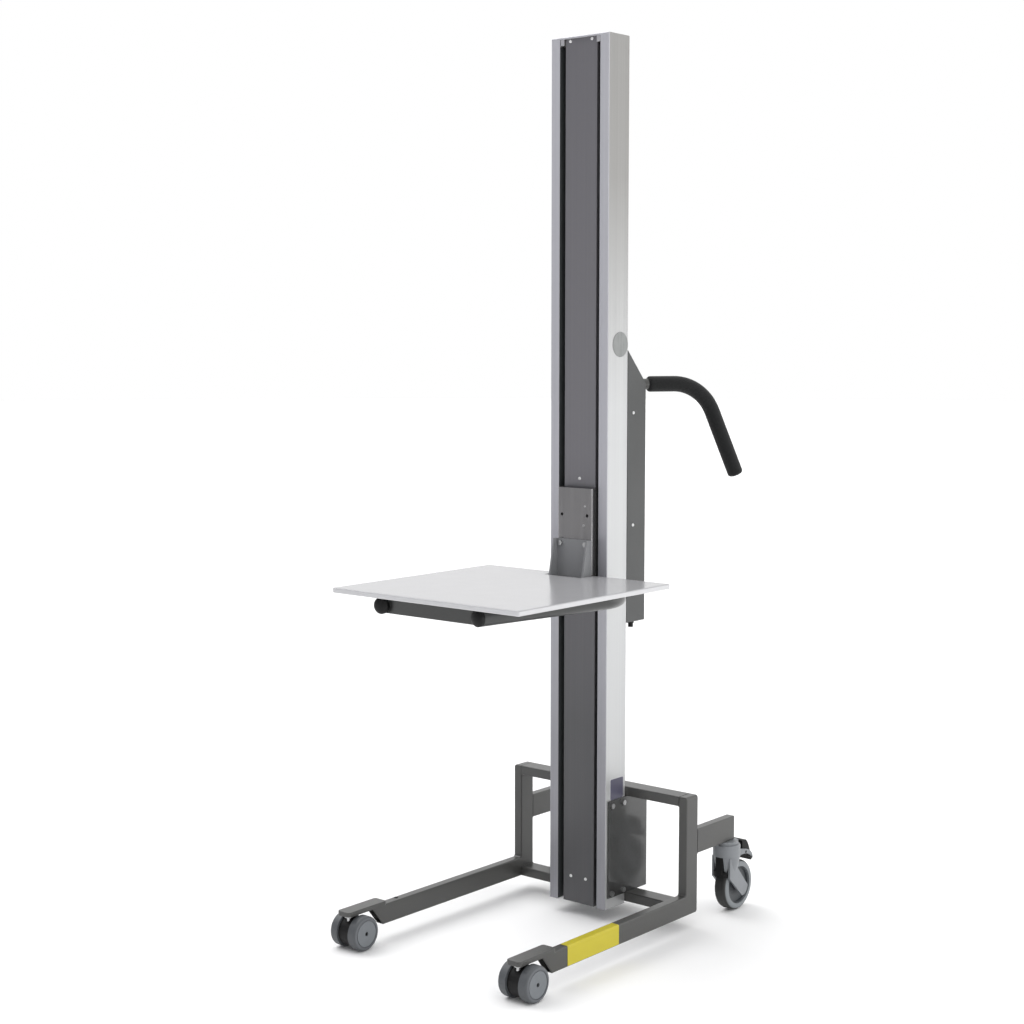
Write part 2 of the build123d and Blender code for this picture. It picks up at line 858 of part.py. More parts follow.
# Carriage plate that wraps round the cover
plate_half = plate_width / 2
plate_front = mast_front - plate_proud
free_hole_height = plate_top - free_hole_drop
tool_bolt_height = bracket_top - tool_bolt_drop
tool_holes = [(-tool_hole_spacing / 2, 0), (tool_hole_spacing / 2, 0)]

with BuildPart() as carriage_plate:
    with BuildSketch(Plane.XY.offset(plate_bottom)):
        with Locations((0, plate_front)):
            Rectangle(plate_width, plate_proud + plate_return, align=(Align.CENTER, Align.MIN))
        with Locations((0, plate_front + plate_sheet)):
            Rectangle(
                plate_width - 2 * plate_sheet,
                plate_proud + plate_return,
                align=(Align.CENTER, Align.MIN),
                mode=Mode.SUBTRACT,
            )
    extrude(amount=plate_top - plate_bottom)
    folds = carriage_plate.edges().filter_by(Axis.Z).group_by(Axis.Y)
    fillet(folds[0], plate_bend)
    fillet(folds[1], plate_bend - plate_sheet)
    for level, radius in (
        (free_hole_height, tool_hole_radius),
        (tool_bolt_height, bolt_radius + bolt_clearance),
    ):
        with BuildSketch(across(plate_front)):
            with Locations((0, level)):
                with Locations(*tool_holes):
                    Circle(radius)
        extrude(amount=-plate_sheet, mode=Mode.SUBTRACT)
write_piece(carriage_plate.part, "carriage_plate")

# Inner carriage frame, bolted between the returns, with the belt clamp
inner_half = plate_half - plate_sheet
inner_side = inner_half - inner_sheet
inner_front = mast_front + web_front
inner_back = mast_front + inner_frame_back
roller_levels = (inner_frame_bottom + roller_inset, inner_frame_top - roller_inset)
clamp_low = clamp_center - clamp_height / 2
belt_back = guide_y + belt_width / 2

with BuildPart() as carriage_frame:
    with BuildSketch(Plane.XY.offset(inner_frame_bottom)):
        with Locations((0, inner_front)):
            Rectangle(2 * inner_half, inner_back - inner_front, align=(Align.CENTER, Align.MIN))
        with Locations((0, inner_front + web_sheet)):
            Rectangle(
                2 * inner_side,
                inner_back - inner_front,
                align=(Align.CENTER, Align.MIN),
                mode=Mode.SUBTRACT,
            )
    extrude(amount=inner_frame_top - inner_frame_bottom)
    window_height = roller_levels[1] - roller_levels[0] - 2 * window_margin
    window_depth = (inner_back - inner_front) / 2
    with BuildSketch(Plane.YZ.offset(-inner_half)):
        with Locations((guide_y, (inner_frame_top + inner_frame_bottom) / 2)):
            RectangleRounded(window_depth, window_height, window_depth / 4)
    extrude(amount=2 * inner_half, mode=Mode.SUBTRACT)
    with BuildSketch(Plane.XY.offset(clamp_low)):
        with Locations((belt_inner + belt_thickness / 2, inner_front + web_sheet)):
            Rectangle(
                belt_thickness + 2 * belt_clearance + 2 * clamp_cheek,
                belt_back - inner_front - web_sheet,
                align=(Align.CENTER, Align.MIN),
            )
        with Locations((belt_inner + belt_thickness / 2, guide_y - belt_width / 2 - part_gap)):
            Rectangle(
                belt_thickness + 2 * belt_clearance,
                belt_width + 2 * part_gap,
                align=(Align.CENTER, Align.MIN),
                mode=Mode.SUBTRACT,
            )
    extrude(amount=clamp_height)
    with BuildSketch(Plane.YZ.offset(-inner_half)):
        with Locations(*[(guide_y, level) for level in roller_levels]):
            Circle(roller_bore)
    extrude(amount=2 * inner_half, mode=Mode.SUBTRACT)
write_piece(carriage_frame.part, "carriage_frame")

# Roller pins and the four guide rollers
roller_face = inner_half + roller_side_gap
pin_end = roller_face + roller_width + roller_side_gap / 2

with BuildPart() as roller_pins:
    for side in (-1, 1):
        with BuildSketch(Plane.YZ.offset(side * inner_side)):
            with Locations(*[(guide_y, level) for level in roller_levels]):
                Circle(roller_pin_head)
        extrude(amount=-side * roller_pin_head_height)
        with BuildSketch(Plane.YZ.offset(side * inner_side)):
            with Locations(*[(guide_y, level) for level in roller_levels]):
                Circle(roller_bore)
        extrude(amount=side * (pin_end - inner_side))
        with BuildSketch(Plane.YZ.offset(side * inner_half)):
            with Locations(*[(guide_y, level) for level in roller_levels]):
                Circle(roller_pin_head)
        extrude(amount=side * (roller_side_gap - part_gap))
write_piece(roller_pins.part, "roller_pins")

for position, level in zip(("lower", "upper"), roller_levels):
    with BuildPart() as roller:
        with BuildSketch(Plane.YZ.offset(roller_face)):
            with Locations((guide_y, level)):
                Circle(roller_radius)
                Circle(roller_bore + shaft_clearance, mode=Mode.SUBTRACT)
        extrude(amount=roller_width)
        rims = roller.edges().filter_by(GeomType.CIRCLE).filter_by(
            lambda edge: edge.radius > (roller_radius + roller_bore) / 2
        )
        chamfer(rims, roller_groove)
    write_pair(roller.part, f"{position}_roller")

# Fork tube under the platform, bent to a U that opens forwards
platform_bottom = platform_top - platform_thickness
fork_height = platform_bottom - platform_seat - fork_tube_radius
fork_root = mast_front - fork_corner_depth
fork_tip = mast_front - fork_tip_depth


def fork_bar(radius):
    """A round bar along the fork's centre line."""
    with BuildPart() as bar:
        with BuildLine(Plane.XY.offset(fork_height)) as path:
            FilletPolyline(
                (fork_tip_half, fork_tip),
                (fork_corner_half, fork_root),
                (-fork_corner_half, fork_root),
                (-fork_tip_half, fork_tip),
                radius=fork_bend,
            )
        with BuildSketch(Plane(origin=path.line @ 0, z_dir=path.line % 0)):
            Circle(radius)
        sweep()
    return bar.part


fork_outside = fork_bar(fork_tube_radius)

with BuildPart() as fork_tube:
    add(fork_outside)
    add(fork_bar(fork_tube_radius - fork_tube_wall), mode=Mode.SUBTRACT)
write_piece(fork_tube.part, "fork_tube")

with BuildPart() as fork_cross_bar:
    with BuildSketch(across(fork_tip + cross_bar_setback + cross_bar_thickness)):
        with Locations((0, fork_height)):
            Rectangle(2 * fork_tip_half, cross_bar_height)
    extrude(amount=cross_bar_thickness)
    add(fork_outside, mode=Mode.SUBTRACT)
write_piece(fork_cross_bar.part, "fork_cross_bar")

# Domed plugs on the fork's two tips
arm_dir = Vector(fork_tip_half - fork_corner_half, fork_tip - fork_root, 0).normalized()
tip_plane = Plane(
    origin=(fork_tip_half, fork_tip, fork_height),
    x_dir=arm_dir,
    z_dir=(0, 0, 1),
)

with BuildPart() as fork_caps:
    with BuildSketch(tip_plane):
        with BuildLine():
            Polyline(
                (fork_cap_straight, fork_tube_radius),
                (0, fork_tube_radius),
                (0, 0),
                (fork_cap_straight + fork_cap_dome, 0),
            )
            EllipticalCenterArc(
                (fork_cap_straight, 0), fork_cap_dome, fork_tube_radius, start_angle=0, arc_size=90
            )
        make_face()
    revolve(axis=Axis((fork_tip_half, fork_tip, fork_height), arm_dir))
    mirror(about=Plane.YZ)
write_piece(fork_caps.part, "fork_caps")

# Tool bracket: a back plate with two tapering gussets, welded to the fork tube
bracket_face = plate_front - bracket_sheet
bracket_bottom = fork_height - fork_tube_radius
gusset_foot = gusset_top_reach + gusset_slope * (bracket_top - bracket_bottom)

with BuildPart() as tool_bracket:
    with BuildSketch(across(plate_front)):
        with Locations((0, bracket_bottom)):
            Rectangle(plate_width, bracket_top - bracket_bottom, align=(Align.CENTER, Align.MIN))
    extrude(amount=bracket_sheet)
    for start in (-plate_half, plate_half - bracket_sheet):
        with BuildSketch(Plane.YZ.offset(start)):
            with BuildLine():
                Polyline(
                    (plate_front, bracket_bottom),
                    (plate_front, bracket_top),
                    (plate_front - gusset_top_reach, bracket_top),
                    (plate_front - gusset_foot, bracket_bottom),
                    close=True,
                )
            make_face()
        extrude(amount=bracket_sheet)
    with BuildSketch(across(plate_front)):
        with Locations((0, tool_bolt_height)):
            with Locations(*tool_holes):
                Circle(bolt_radius + bolt_clearance)
    extrude(amount=bracket_sheet, mode=Mode.SUBTRACT)
    add(fork_outside, mode=Mode.SUBTRACT)
    tool_bracket_solid = tool_bracket.solids().sort_by(SortBy.VOLUME)[-1]
with BuildPart() as tool_bracket:
    add(tool_bracket_solid)
write_piece(tool_bracket.part, "tool_bracket")

with BuildPart() as tool_bolts:
    for start, length, radius, sides in (
        (bracket_face, bolt_head_height, head_radius, 6),
        (plate_front + plate_sheet + nut_height, nut_height, head_radius, 6),
    ):
        with BuildSketch(across(start)):
            with Locations((0, tool_bolt_height)):
                with Locations(*tool_holes):
                    RegularPolygon(radius, sides)
        extrude(amount=length)
    with BuildSketch(across(plate_front + plate_sheet + nut_height)):
        with Locations((0, tool_bolt_height)):
            with Locations(*tool_holes):
                Circle(bolt_radius)
    extrude(amount=nut_height + plate_sheet + bracket_sheet)
write_piece(tool_bolts.part, "tool_bolts")

# Platform with a notch at the back for the tool bracket
platform_back = mast_front - platform_gap
notch_front = plate_front - gusset_foot - notch_clearance

with BuildPart() as platform:
    with BuildSketch(Plane.XY.offset(platform_bottom)):
        with Locations((0, platform_back - platform_depth / 2)):
            RectangleRounded(platform_width, platform_depth, platform_corner)
        with Locations((0, platform_back)):
            Rectangle(
                plate_width + 2 * notch_clearance,
                platform_back - notch_front,
                align=(Align.CENTER, Align.MAX),
                mode=Mode.SUBTRACT,
            )
    extrude(amount=platform_thickness)
    rim_top = platform.faces().sort_by(Axis.Z)[-1].edges()
    rim_low = platform.faces().sort_by(Axis.Z)[0].edges()
    fillet(rim_top + rim_low, platform_edge)
write_piece(platform.part, "platform")

# Front casters: a stem on the leg plate, a hood with its axle, and two wheels
front_axis = leg_tip - front_axis_overhang
front_axle = front_axis + front_trail
front_collar_low = leg_top - front_collar_height
wheel_inner = wheel_line + hood_width / 2 + hood_wheel_gap
axle_half = hood_width / 2 + hood_wheel_gap + front_wheel_width - front_axle_recess

with BuildPart() as front_stems:
    for radius, length in (
        (front_collar_radius, front_collar_height),
        (front_stem_radius, front_collar_height + front_stem_length),
    ):
        with BuildSketch(Plane.XY.offset(leg_top)):
            with Locations((wheel_line, front_axis)):
                Circle(radius)
        extrude(amount=-length)
    mirror(about=Plane.YZ)
write_piece(front_stems.part, "front_stems")

with BuildPart() as front_hood:
    with BuildSketch(Plane.YZ.offset(wheel_line - hood_width / 2)):
        with Locations((front_axle, front_wheel_radius)):
            Circle(hood_radius)
        with Locations((front_axle, hood_floor_gap)):
            Rectangle(
                2 * hood_radius,
                2 * hood_radius,
                align=(Align.CENTER, Align.MAX),
                mode=Mode.SUBTRACT,
            )
    extrude(amount=hood_width)
    with BuildSketch(Plane.XY.offset(leg_top)):
        with Locations((wheel_line, front_axis)):
            Circle(front_collar_radius + 2 * part_gap)
    extrude(amount=-(front_collar_height + part_gap), mode=Mode.SUBTRACT)
    with BuildSketch(Plane.XY.offset(front_collar_low)):
        with Locations((wheel_line, front_axis)):
            Circle(front_stem_radius + shaft_clearance)
    extrude(amount=-(front_stem_length + part_gap), mode=Mode.SUBTRACT)
    with BuildSketch(Plane.YZ.offset(wheel_line - axle_half)):
        with Locations((front_axle, front_wheel_radius)):
            Circle(front_axle_radius)
    extrude(amount=2 * axle_half)
write_pair(front_hood.part, "front_hood")


def front_wheel(face, outward):
    """A grey wheel whose inner side is at the given x, with its hub facing outward."""
    floor = front_wheel_radius
    bore = floor + front_axle_radius + shaft_clearance
    hub = floor + front_hub_radius
    rim_face = face + outward * front_wheel_width
    groove_face = rim_face - outward * front_hub_step
    hub_face = rim_face - outward * front_hub_step / 3
    with BuildPart() as wheel:
        with BuildSketch(across(front_axle)) as section:
            with BuildLine():
                Polyline(
                    (face, bore),
                    (face, floor + front_wheel_radius),
                    (rim_face, floor + front_wheel_radius),
                    (rim_face, hub + front_hub_groove),
                    (groove_face, hub + front_hub_groove),
                    (groove_face, hub),
                    (hub_face, hub),
                    (hub_face, bore),
                    close=True,
                )
            make_face()
            rims = section.vertices().group_by(Axis.Y)[-1].sort_by(Axis.X)
            inner_rim, outer_rim = (rims[0], rims[-1]) if outward > 0 else (rims[-1], rims[0])
            fillet(outer_rim, front_wheel_shoulder)
            fillet(inner_rim, front_wheel_inner_edge)
        revolve(axis=Axis((face, front_axle, floor), (1, 0, 0)))
    return wheel.part


write_pair(front_wheel(wheel_inner, 1), "front_outer_wheel")
write_pair(front_wheel(2 * wheel_line - wheel_inner, -1), "front_inner_wheel")

# Rear casters: a stem under the bar, a forked housing, a wheel, a guard and a brake pedal
rear_axis = mast_front + rear_axis_reach
rear_axle = rear_axis + rear_trail
rear_flange_low = rear_bar_bottom - rear_flange_height
head_top = rear_flange_low - part_gap
head_low = head_top - rear_head_height
leg_inside = rear_tyre_width / 2 + fork_leg_gap
leg_outside = leg_inside + fork_leg_thickness
pedal_axis = rear_axis + pedal_axis_back

with BuildPart() as rear_stems:
    for radius, length in (
        (rear_flange_radius, rear_flange_height),
        (rear_stem_radius, rear_flange_height + rear_stem_length),
    ):
        with BuildSketch(Plane.XY.offset(rear_bar_bottom)):
            with Locations((wheel_line, rear_axis)):
                Circle(radius)
        extrude(amount=-length)
    mirror(about=Plane.YZ)
write_piece(rear_stems.part, "rear_stems")


def arc_shell(inner_radius, thickness, start, end, half_width):
    """A curved plate about the rear axle, between two angles."""
    with BuildPart() as shell:
        with BuildSketch(Plane.YZ.offset(wheel_line - half_width)):
            with BuildLine():
                middle = (rear_axle, rear_wheel_radius)
                inner = CenterArc(middle, inner_radius, start, end - start)
                outer = CenterArc(middle, inner_radius + thickness, start, end - start)
                Line(inner @ 0, outer @ 0)
                Line(inner @ 1, outer @ 1)
            make_face()
        extrude(amount=2 * half_width)
    return shell.part


with BuildPart() as rear_fork:
    with BuildSketch(Plane.XY.offset(head_low)):
        with Locations((wheel_line, rear_axis)):
            Circle(rear_head_radius)
    extrude(amount=rear_head_height)
    fillet(rear_fork.faces().sort_by(Axis.Z)[-1].edges(), rear_head_edge)
    with BuildSketch(Plane(origin=(wheel_line, rear_axis, head_low), z_dir=(0, 0, -1))):
        Circle(rear_head_radius)
    extrude(amount=fork_skirt_height, taper=fork_skirt_taper)
    with BuildSketch(Plane.XY.offset(head_low)):
        with Locations((wheel_line, rear_axis)):
            Rectangle(2 * fork_skirt_opening, 2 * rear_head_radius)
        with Locations((wheel_line, rear_axis - fork_skirt_front)):
            Rectangle(2 * leg_inside, 2 * rear_head_radius, align=(Align.CENTER, Align.MIN))
    extrude(amount=-fork_skirt_height, mode=Mode.SUBTRACT)
    for start in (wheel_line - leg_outside, wheel_line + leg_inside):
        with BuildSketch(Plane.YZ.offset(start)):
            with BuildLine():
                leg_end = CenterArc(
                    (rear_axle, rear_wheel_radius),
                    fork_leg_end_radius,
                    fork_leg_end_start,
                    fork_leg_end_sweep,
                )
                Polyline(
                    leg_end @ 1,
                    (rear_axis + fork_leg_waist_back, fork_leg_waist),
                    (rear_axis + fork_leg_back, head_low),
                    (rear_axis - fork_leg_front, head_low),
                    (rear_axis - fork_leg_front, fork_leg_knee),
                    leg_end @ 0,
                )
            make_face()
        extrude(amount=fork_leg_thickness)
        with BuildSketch(Plane.YZ.offset(start)):
            with BuildLine():
                arm_top = Spline(
                    (rear_axis, head_top - rear_head_edge),
                    ((rear_axis + pedal_axis) / 2, fork_arm_top),
                    (rear_axis + fork_arm_back, fork_arm_drop),
                    (rear_axis + fork_arm_tip_back, fork_arm_tip),
                )
                arm_low = Spline(
                    (rear_axis + fork_arm_tip_back, fork_arm_tip),
                    (rear_axis + fork_arm_back, fork_arm_underside),
                    (rear_axis, fork_arm_underside),
                )
                Line(arm_low @ 1, arm_top @ 0)
            make_face()
        extrude(amount=fork_leg_thickness)
    add(
        arc_shell(
            rear_wheel_radius + fender_gap, fender_thickness, fender_start, fender_end, leg_inside
        )
    )
    with BuildSketch(Plane.YZ.offset(wheel_line - leg_inside)):
        with Locations((rear_axle, rear_wheel_radius)):
            Circle(rear_axle_radius)
    extrude(amount=2 * leg_inside)
    with BuildSketch(Plane.XY.offset(head_top)):
        with Locations((wheel_line, rear_axis)):
            Circle(rear_stem_radius + shaft_clearance)
    extrude(amount=-(rear_stem_length + part_gap), mode=Mode.SUBTRACT)
    with BuildSketch(Plane.YZ.offset(wheel_line - leg_outside)):
        with Locations((pedal_axis, pedal_axis_height)):
            Circle(pedal_pin_radius + shaft_clearance)
    extrude(amount=2 * leg_outside, mode=Mode.SUBTRACT)
write_pair(rear_fork.part, "rear_fork")

# Black guard in front of the rear wheel: a curved wall, narrow where it fills the skirt's opening
guard_widths = (
    (leg_inside - part_gap, head_low - fork_skirt_height - part_gap),
    (fork_skirt_opening - part_gap, head_low),
)

with BuildPart() as rear_guard:
    for half_width, height in guard_widths:
        with BuildSketch(Plane.XY.offset(guard_low)):
            with Locations((wheel_line, rear_axis)):
                Circle(rear_head_radius)
                Circle(rear_head_radius - guard_thickness, mode=Mode.SUBTRACT)
                Rectangle(
                    2 * half_width,
                    rear_head_radius,
                    align=(Align.CENTER, Align.MAX),
                    mode=Mode.INTERSECT,
                )
        extrude(amount=height - guard_low)
write_pair(rear_guard.part, "rear_guard")

# Brake pedal, pinned between the ears of the fork
pedal_side = leg_inside - part_gap

with BuildPart() as brake_pedal:
    with BuildSketch(Plane.YZ.offset(wheel_line - pedal_side)):
        with BuildLine():
            top_line = Spline(
                (pedal_axis - pedal_barrel_radius, pedal_crown),
                (pedal_axis + pedal_barrel_radius, pedal_crown),
                (rear_axis + pedal_knee_back, pedal_knee_height),
                (rear_axis + pedal_reach, pedal_tip_height),
            )
            low_line = Spline(
                (pedal_axis - pedal_barrel_radius, pedal_axis_height),
                (rear_axis + pedal_knee_back - pedal_thickness, pedal_knee_height - 2 * pedal_thickness),
                (rear_axis + pedal_reach - pedal_thickness, pedal_tip_height - pedal_thickness / 2),
            )
            Line(top_line @ 0, low_line @ 0)
            Line(top_line @ 1, low_line @ 1)
        make_face()
        with Locations((pedal_axis, pedal_axis_height)):
            Circle(pedal_barrel_radius)
    extrude(amount=2 * pedal_side)
    with BuildSketch(Plane.YZ.offset(wheel_line - leg_outside)):
        with Locations((pedal_axis, pedal_axis_height)):
            Circle(pedal_pin_radius)
    extrude(amount=2 * leg_outside)
write_pair(brake_pedal.part, "brake_pedal")

# Rear wheel: a rubber tyre on a dished hub
tyre_inner = rear_wheel_radius - rear_tyre_depth

with BuildPart() as rear_tyre:
    with BuildSketch(across(rear_axle)) as tyre_section:
        with Locations((wheel_line, rear_wheel_radius + tyre_inner + rear_tyre_depth / 2)):
            Rectangle(rear_tyre_width, rear_tyre_depth)
        fillet(tyre_section.vertices().group_by(Axis.Y)[-1], rear_tyre_shoulder)
    revolve(axis=Axis((wheel_line, rear_axle, rear_wheel_radius), (1, 0, 0)))
write_pair(rear_tyre.part, "rear_tyre")

with BuildPart() as rear_hub:
    with BuildSketch(Plane.YZ.offset(wheel_line - rear_hub_width / 2)):
        with Locations((rear_axle, rear_wheel_radius)):
            Circle(tyre_inner)
    extrude(amount=rear_hub_width)
    for side in (-1, 1):
        with BuildSketch(Plane.YZ.offset(wheel_line + side * rear_hub_width / 2)):
            with Locations((rear_axle, rear_wheel_radius)):
                Circle(tyre_inner - rear_hub_dish)
                Circle(rear_hub_boss_radius, mode=Mode.SUBTRACT)
        extrude(amount=-side * rear_hub_dish, mode=Mode.SUBTRACT)
        with BuildSketch(Plane.YZ.offset(wheel_line + side * rear_hub_width / 2)):
            with Locations((rear_axle, rear_wheel_radius)):
                Circle(rear_hub_boss_radius)
        extrude(amount=side * rear_hub_boss)
    with BuildSketch(Plane.YZ.offset(wheel_line - rear_tyre_width)):
        with Locations((rear_axle, rear_wheel_radius)):
            Circle(rear_axle_radius + shaft_clearance)
    extrude(amount=2 * rear_tyre_width, mode=Mode.SUBTRACT)
write_pair(rear_hub.part, "rear_hub")
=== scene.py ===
# %% [markdown]
# A battery-powered material lift: a slim mast on a wheeled tube frame, a carriage with a white
# platform, and a control box with two foam grips behind. The solid model already has the right
# shapes and places, so this lesson loads it as a fixed frame, gives each surface the finish that
# the real one has, with painted light and shade on the mast, its cover strip and the platform's
# edge, and adds the small things a maker would fit last: screws, weld beads, tape and bare plates,
# and dark strips of painted shade in the mast's slots.

# %% Load the imported model
import math

import bmesh
import bpy
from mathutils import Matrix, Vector


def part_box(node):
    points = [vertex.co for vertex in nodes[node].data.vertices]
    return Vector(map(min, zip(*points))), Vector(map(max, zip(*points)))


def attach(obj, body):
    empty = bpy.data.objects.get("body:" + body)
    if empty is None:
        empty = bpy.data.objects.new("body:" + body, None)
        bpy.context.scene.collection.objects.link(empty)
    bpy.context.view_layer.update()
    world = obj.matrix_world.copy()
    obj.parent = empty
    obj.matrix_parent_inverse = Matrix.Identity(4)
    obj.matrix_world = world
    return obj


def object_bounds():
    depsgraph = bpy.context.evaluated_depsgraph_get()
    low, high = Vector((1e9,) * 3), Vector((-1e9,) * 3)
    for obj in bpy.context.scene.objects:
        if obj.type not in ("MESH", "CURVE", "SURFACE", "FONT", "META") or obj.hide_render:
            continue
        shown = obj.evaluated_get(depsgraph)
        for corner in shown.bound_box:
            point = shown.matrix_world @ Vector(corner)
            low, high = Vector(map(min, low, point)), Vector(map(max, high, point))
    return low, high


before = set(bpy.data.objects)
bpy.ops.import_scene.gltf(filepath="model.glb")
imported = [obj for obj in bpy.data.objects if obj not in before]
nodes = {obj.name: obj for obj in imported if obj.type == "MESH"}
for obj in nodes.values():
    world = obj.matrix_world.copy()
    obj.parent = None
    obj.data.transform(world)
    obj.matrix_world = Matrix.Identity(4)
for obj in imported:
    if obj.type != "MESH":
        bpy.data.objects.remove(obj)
cad_low, cad_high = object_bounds()
MM = 0.001
print("loaded", len(nodes), "pieces,", round((cad_high.z - cad_low.z) / MM), "mm high")

# %% [markdown]
# Two helpers serve every material and every node tree below. Colours are written as the hex values
# that a paint chart gives, which are sRGB, and Blender's sockets want linear light, so one function
# converts them. The other adds a node, sets its options and inputs, and links any input that is
# given as another node's output.

# %% Colour and node helpers
def linear(hex_colour):
    """A colour chart's sRGB hex value as the linear numbers that a shader socket takes."""
    parts = [int(hex_colour[i:i + 2], 16) / 255 for i in (1, 3, 5)]
    return [c / 12.92 if c <= 0.04045 else ((c + 0.055) / 1.055) ** 2.4 for c in parts] + [1.0]


def add_node(tree, kind, inputs=None, stops=None, **settings):
    """Adds one node with its settings; an input that is a socket is linked, any other is set."""
    node = tree.nodes.new(kind)
    for key, value in settings.items():
        setattr(node, key, value)
    for key, value in (inputs or {}).items():
        if isinstance(value, bpy.types.NodeSocket):
            tree.links.new(value, node.inputs[key])
        else:
            node.inputs[key].default_value = value
    for index, (place, colour) in enumerate(stops or []):
        ramp = node.color_ramp.elements
        element = ramp[index] if index < 2 else ramp.new(place)
        element.position = place
        element.color = linear(colour)
    return node


# %% [markdown]
# Every finish is one Principled shader. What is the same all over the surface is set on the shader's
# own sockets, and what varies is linked: the colour, the roughness and the relief. The patterns read
# Object coordinates, which are in metres here, so a pattern's scale is one over its real size.

# %% Start, wire and apply a finish
def start_finish(name, **constants):
    """A new material with one Principled shader; the constants go on the shader's own sockets."""
    material = bpy.data.materials.new(name)
    material.use_nodes = True
    tree = material.node_tree
    tree.nodes.clear()
    shader = add_node(tree, "ShaderNodeBsdfPrincipled", constants)
    add_node(tree, "ShaderNodeOutputMaterial", {"Surface": shader.outputs["BSDF"]})
    place = add_node(tree, "ShaderNodeTexCoord").outputs["Object"]
    return material, tree, shader, place


def wire(tree, shader, colour, roughness, relief):
    """Links a finish's varying colour, roughness and relief to its shader."""
    for key, socket in (("Base Color", colour), ("Roughness", roughness), ("Normal", relief)):
        tree.links.new(socket, shader.inputs[key])


def dress(material, *names):
    """Puts a finish on CAD pieces by name."""
    for name in names:
        slots = nodes[name].data.materials
        slots.clear()
        slots.append(material)
    print(material.name, "on", len(names), "pieces")


# %% [markdown]
# Two recipes come back in most finishes. The first mixes two close tones by a noise, and can drift to
# another pair of tones along an axis, between two places in metres. The second is a fine grain that
# makes the roughness uneven and raises a small bump. Blender's noise seldom leaves the range from 0.3
# to 0.7, so the tones sit at the ends of that range.

# %% Tones and grain
NOISE_LOW, NOISE_HIGH = 0.3, 0.7
SMOOTHER, ROUGHER = 0.85, 1.15


def tones(tree, place, share, dark, light, drifts=()):
    """A colour between two tones by share; a drift is an axis, two places, two tones, their drifts."""
    colour = add_node(tree, "ShaderNodeValToRGB", {"Fac": share},
                      stops=[(NOISE_LOW, dark), (NOISE_HIGH, light)]).outputs["Color"]
    for axis, start, stop, far_dark, far_light, far_drifts in drifts:
        axes = add_node(tree, "ShaderNodeSeparateXYZ", {"Vector": place})
        reach = add_node(tree, "ShaderNodeMapRange", {
            "Value": axes.outputs[axis], "From Min": start, "From Max": stop})
        far = tones(tree, place, share, far_dark, far_light, far_drifts)
        blend = add_node(tree, "ShaderNodeMix", data_type="RGBA")
        ends = {"Factor_Float": reach.outputs["Result"], "A_Color": colour, "B_Color": far}
        for socket in blend.inputs:
            if socket.identifier in ends:
                tree.links.new(ends[socket.identifier], socket)
        colour = next(s for s in blend.outputs if s.identifier == "Result_Color")
    return colour


def grain_of(tree, place, roughness, grain_mm, detail, strength, depth_mm):
    """The uneven roughness and the bump of a fine grain, whose sizes are in millimetres."""
    grain = add_node(tree, "ShaderNodeTexNoise", {
        "Vector": place, "Scale": 1 / (grain_mm * MM), "Detail": detail}).outputs["Fac"]
    gloss = add_node(tree, "ShaderNodeMapRange", {
        "Value": grain, "To Min": roughness * SMOOTHER, "To Max": roughness * ROUGHER})
    relief = add_node(tree, "ShaderNodeBump", {
        "Height": grain, "Strength": strength, "Distance": depth_mm * MM})
    return gloss.outputs["Result"], relief.outputs["Normal"]


# %% [markdown]
# The mast is an aluminium extrusion, etched and clear anodised. The die leaves faint lines along
# its length and the anodising makes a soft, silky reflection. The lines are noise stretched along Z;
# real ones are under a millimetre wide, so they are drawn about 5 mm wide to show in the picture.

# %% Metals with fine lines
def drawn_metal(name, dark, light, roughness, line_mm, run_mm, depth_mm, metallic=1.0, drifts=()):
    """A metal with fine lines along Z: the line's width, run and depth are in millimetres."""
    material, tree, shader, place = start_finish(name, Metallic=metallic)
    across, along = 1 / (line_mm * MM), 1 / (run_mm * MM)
    stretch = add_node(tree, "ShaderNodeMapping", {"Vector": place, "Scale": (across, across, along)})
    lines = add_node(tree, "ShaderNodeTexNoise", {
        "Vector": stretch.outputs["Vector"], "Scale": 1.0, "Detail": 3.0, "Roughness": 0.6}).outputs["Fac"]
    colour = tones(tree, place, lines, dark, light, drifts)
    gloss = add_node(tree, "ShaderNodeMapRange", {
        "Value": lines, "From Min": NOISE_LOW, "From Max": NOISE_HIGH,
        "To Min": roughness * 1.12, "To Max": roughness * 0.88})
    relief = add_node(tree, "ShaderNodeBump", {
        "Height": lines, "Strength": 0.25, "Distance": depth_mm * MM})
    wire(tree, shader, colour, gloss.outputs["Result"], relief.outputs["Normal"])
    return material


# %% [markdown]
# On the photographed lift the mast's front faces look a shade cooler and darker than its sides, its top
# looks a shade darker, and the cover strip darkens towards its foot. That comes from where the light
# falls, and here it is painted into these finishes as painted light and shade that drift along the
# piece, by tones that were matched to the picture. How much of that is the finish and how much is the
# light can't be told from one picture.

# %% Anodised mast and cover
# Clear anodised extrusion: pale, silky, a little cool, with painted shade: the sides darken towards the
# top, and the front faces, which start at the mast's front, are cooler and darker than the sides, painted
# lighter high up and darker low down
mast_low, mast_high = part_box("mast_profile")
front_shade_band = (mast_low.y + 0.002, mast_low.y + 0.0005)
front_shade_drifts = [("Z", 1.1, 1.7, "#C4C4C9", "#C7C7CC", ()), ("Z", 0.8, 0.35, "#8F8F94", "#929297", ())]
mast_shade_drifts = [("Z", 1.05, 1.5, "#92918F", "#959492", ()),
               ("Y", *front_shade_band, "#B2B2B8", "#B5B5BB", front_shade_drifts)]
anodised = drawn_metal("anodised_extrusion", "#B6B7B8", "#B9BABA", roughness=0.42, line_mm=5.0,
                       run_mm=1400.0, depth_mm=0.001, metallic=0.6, drifts=mast_shade_drifts)
dress(anodised, "mast_profile", "mast_top_cap")
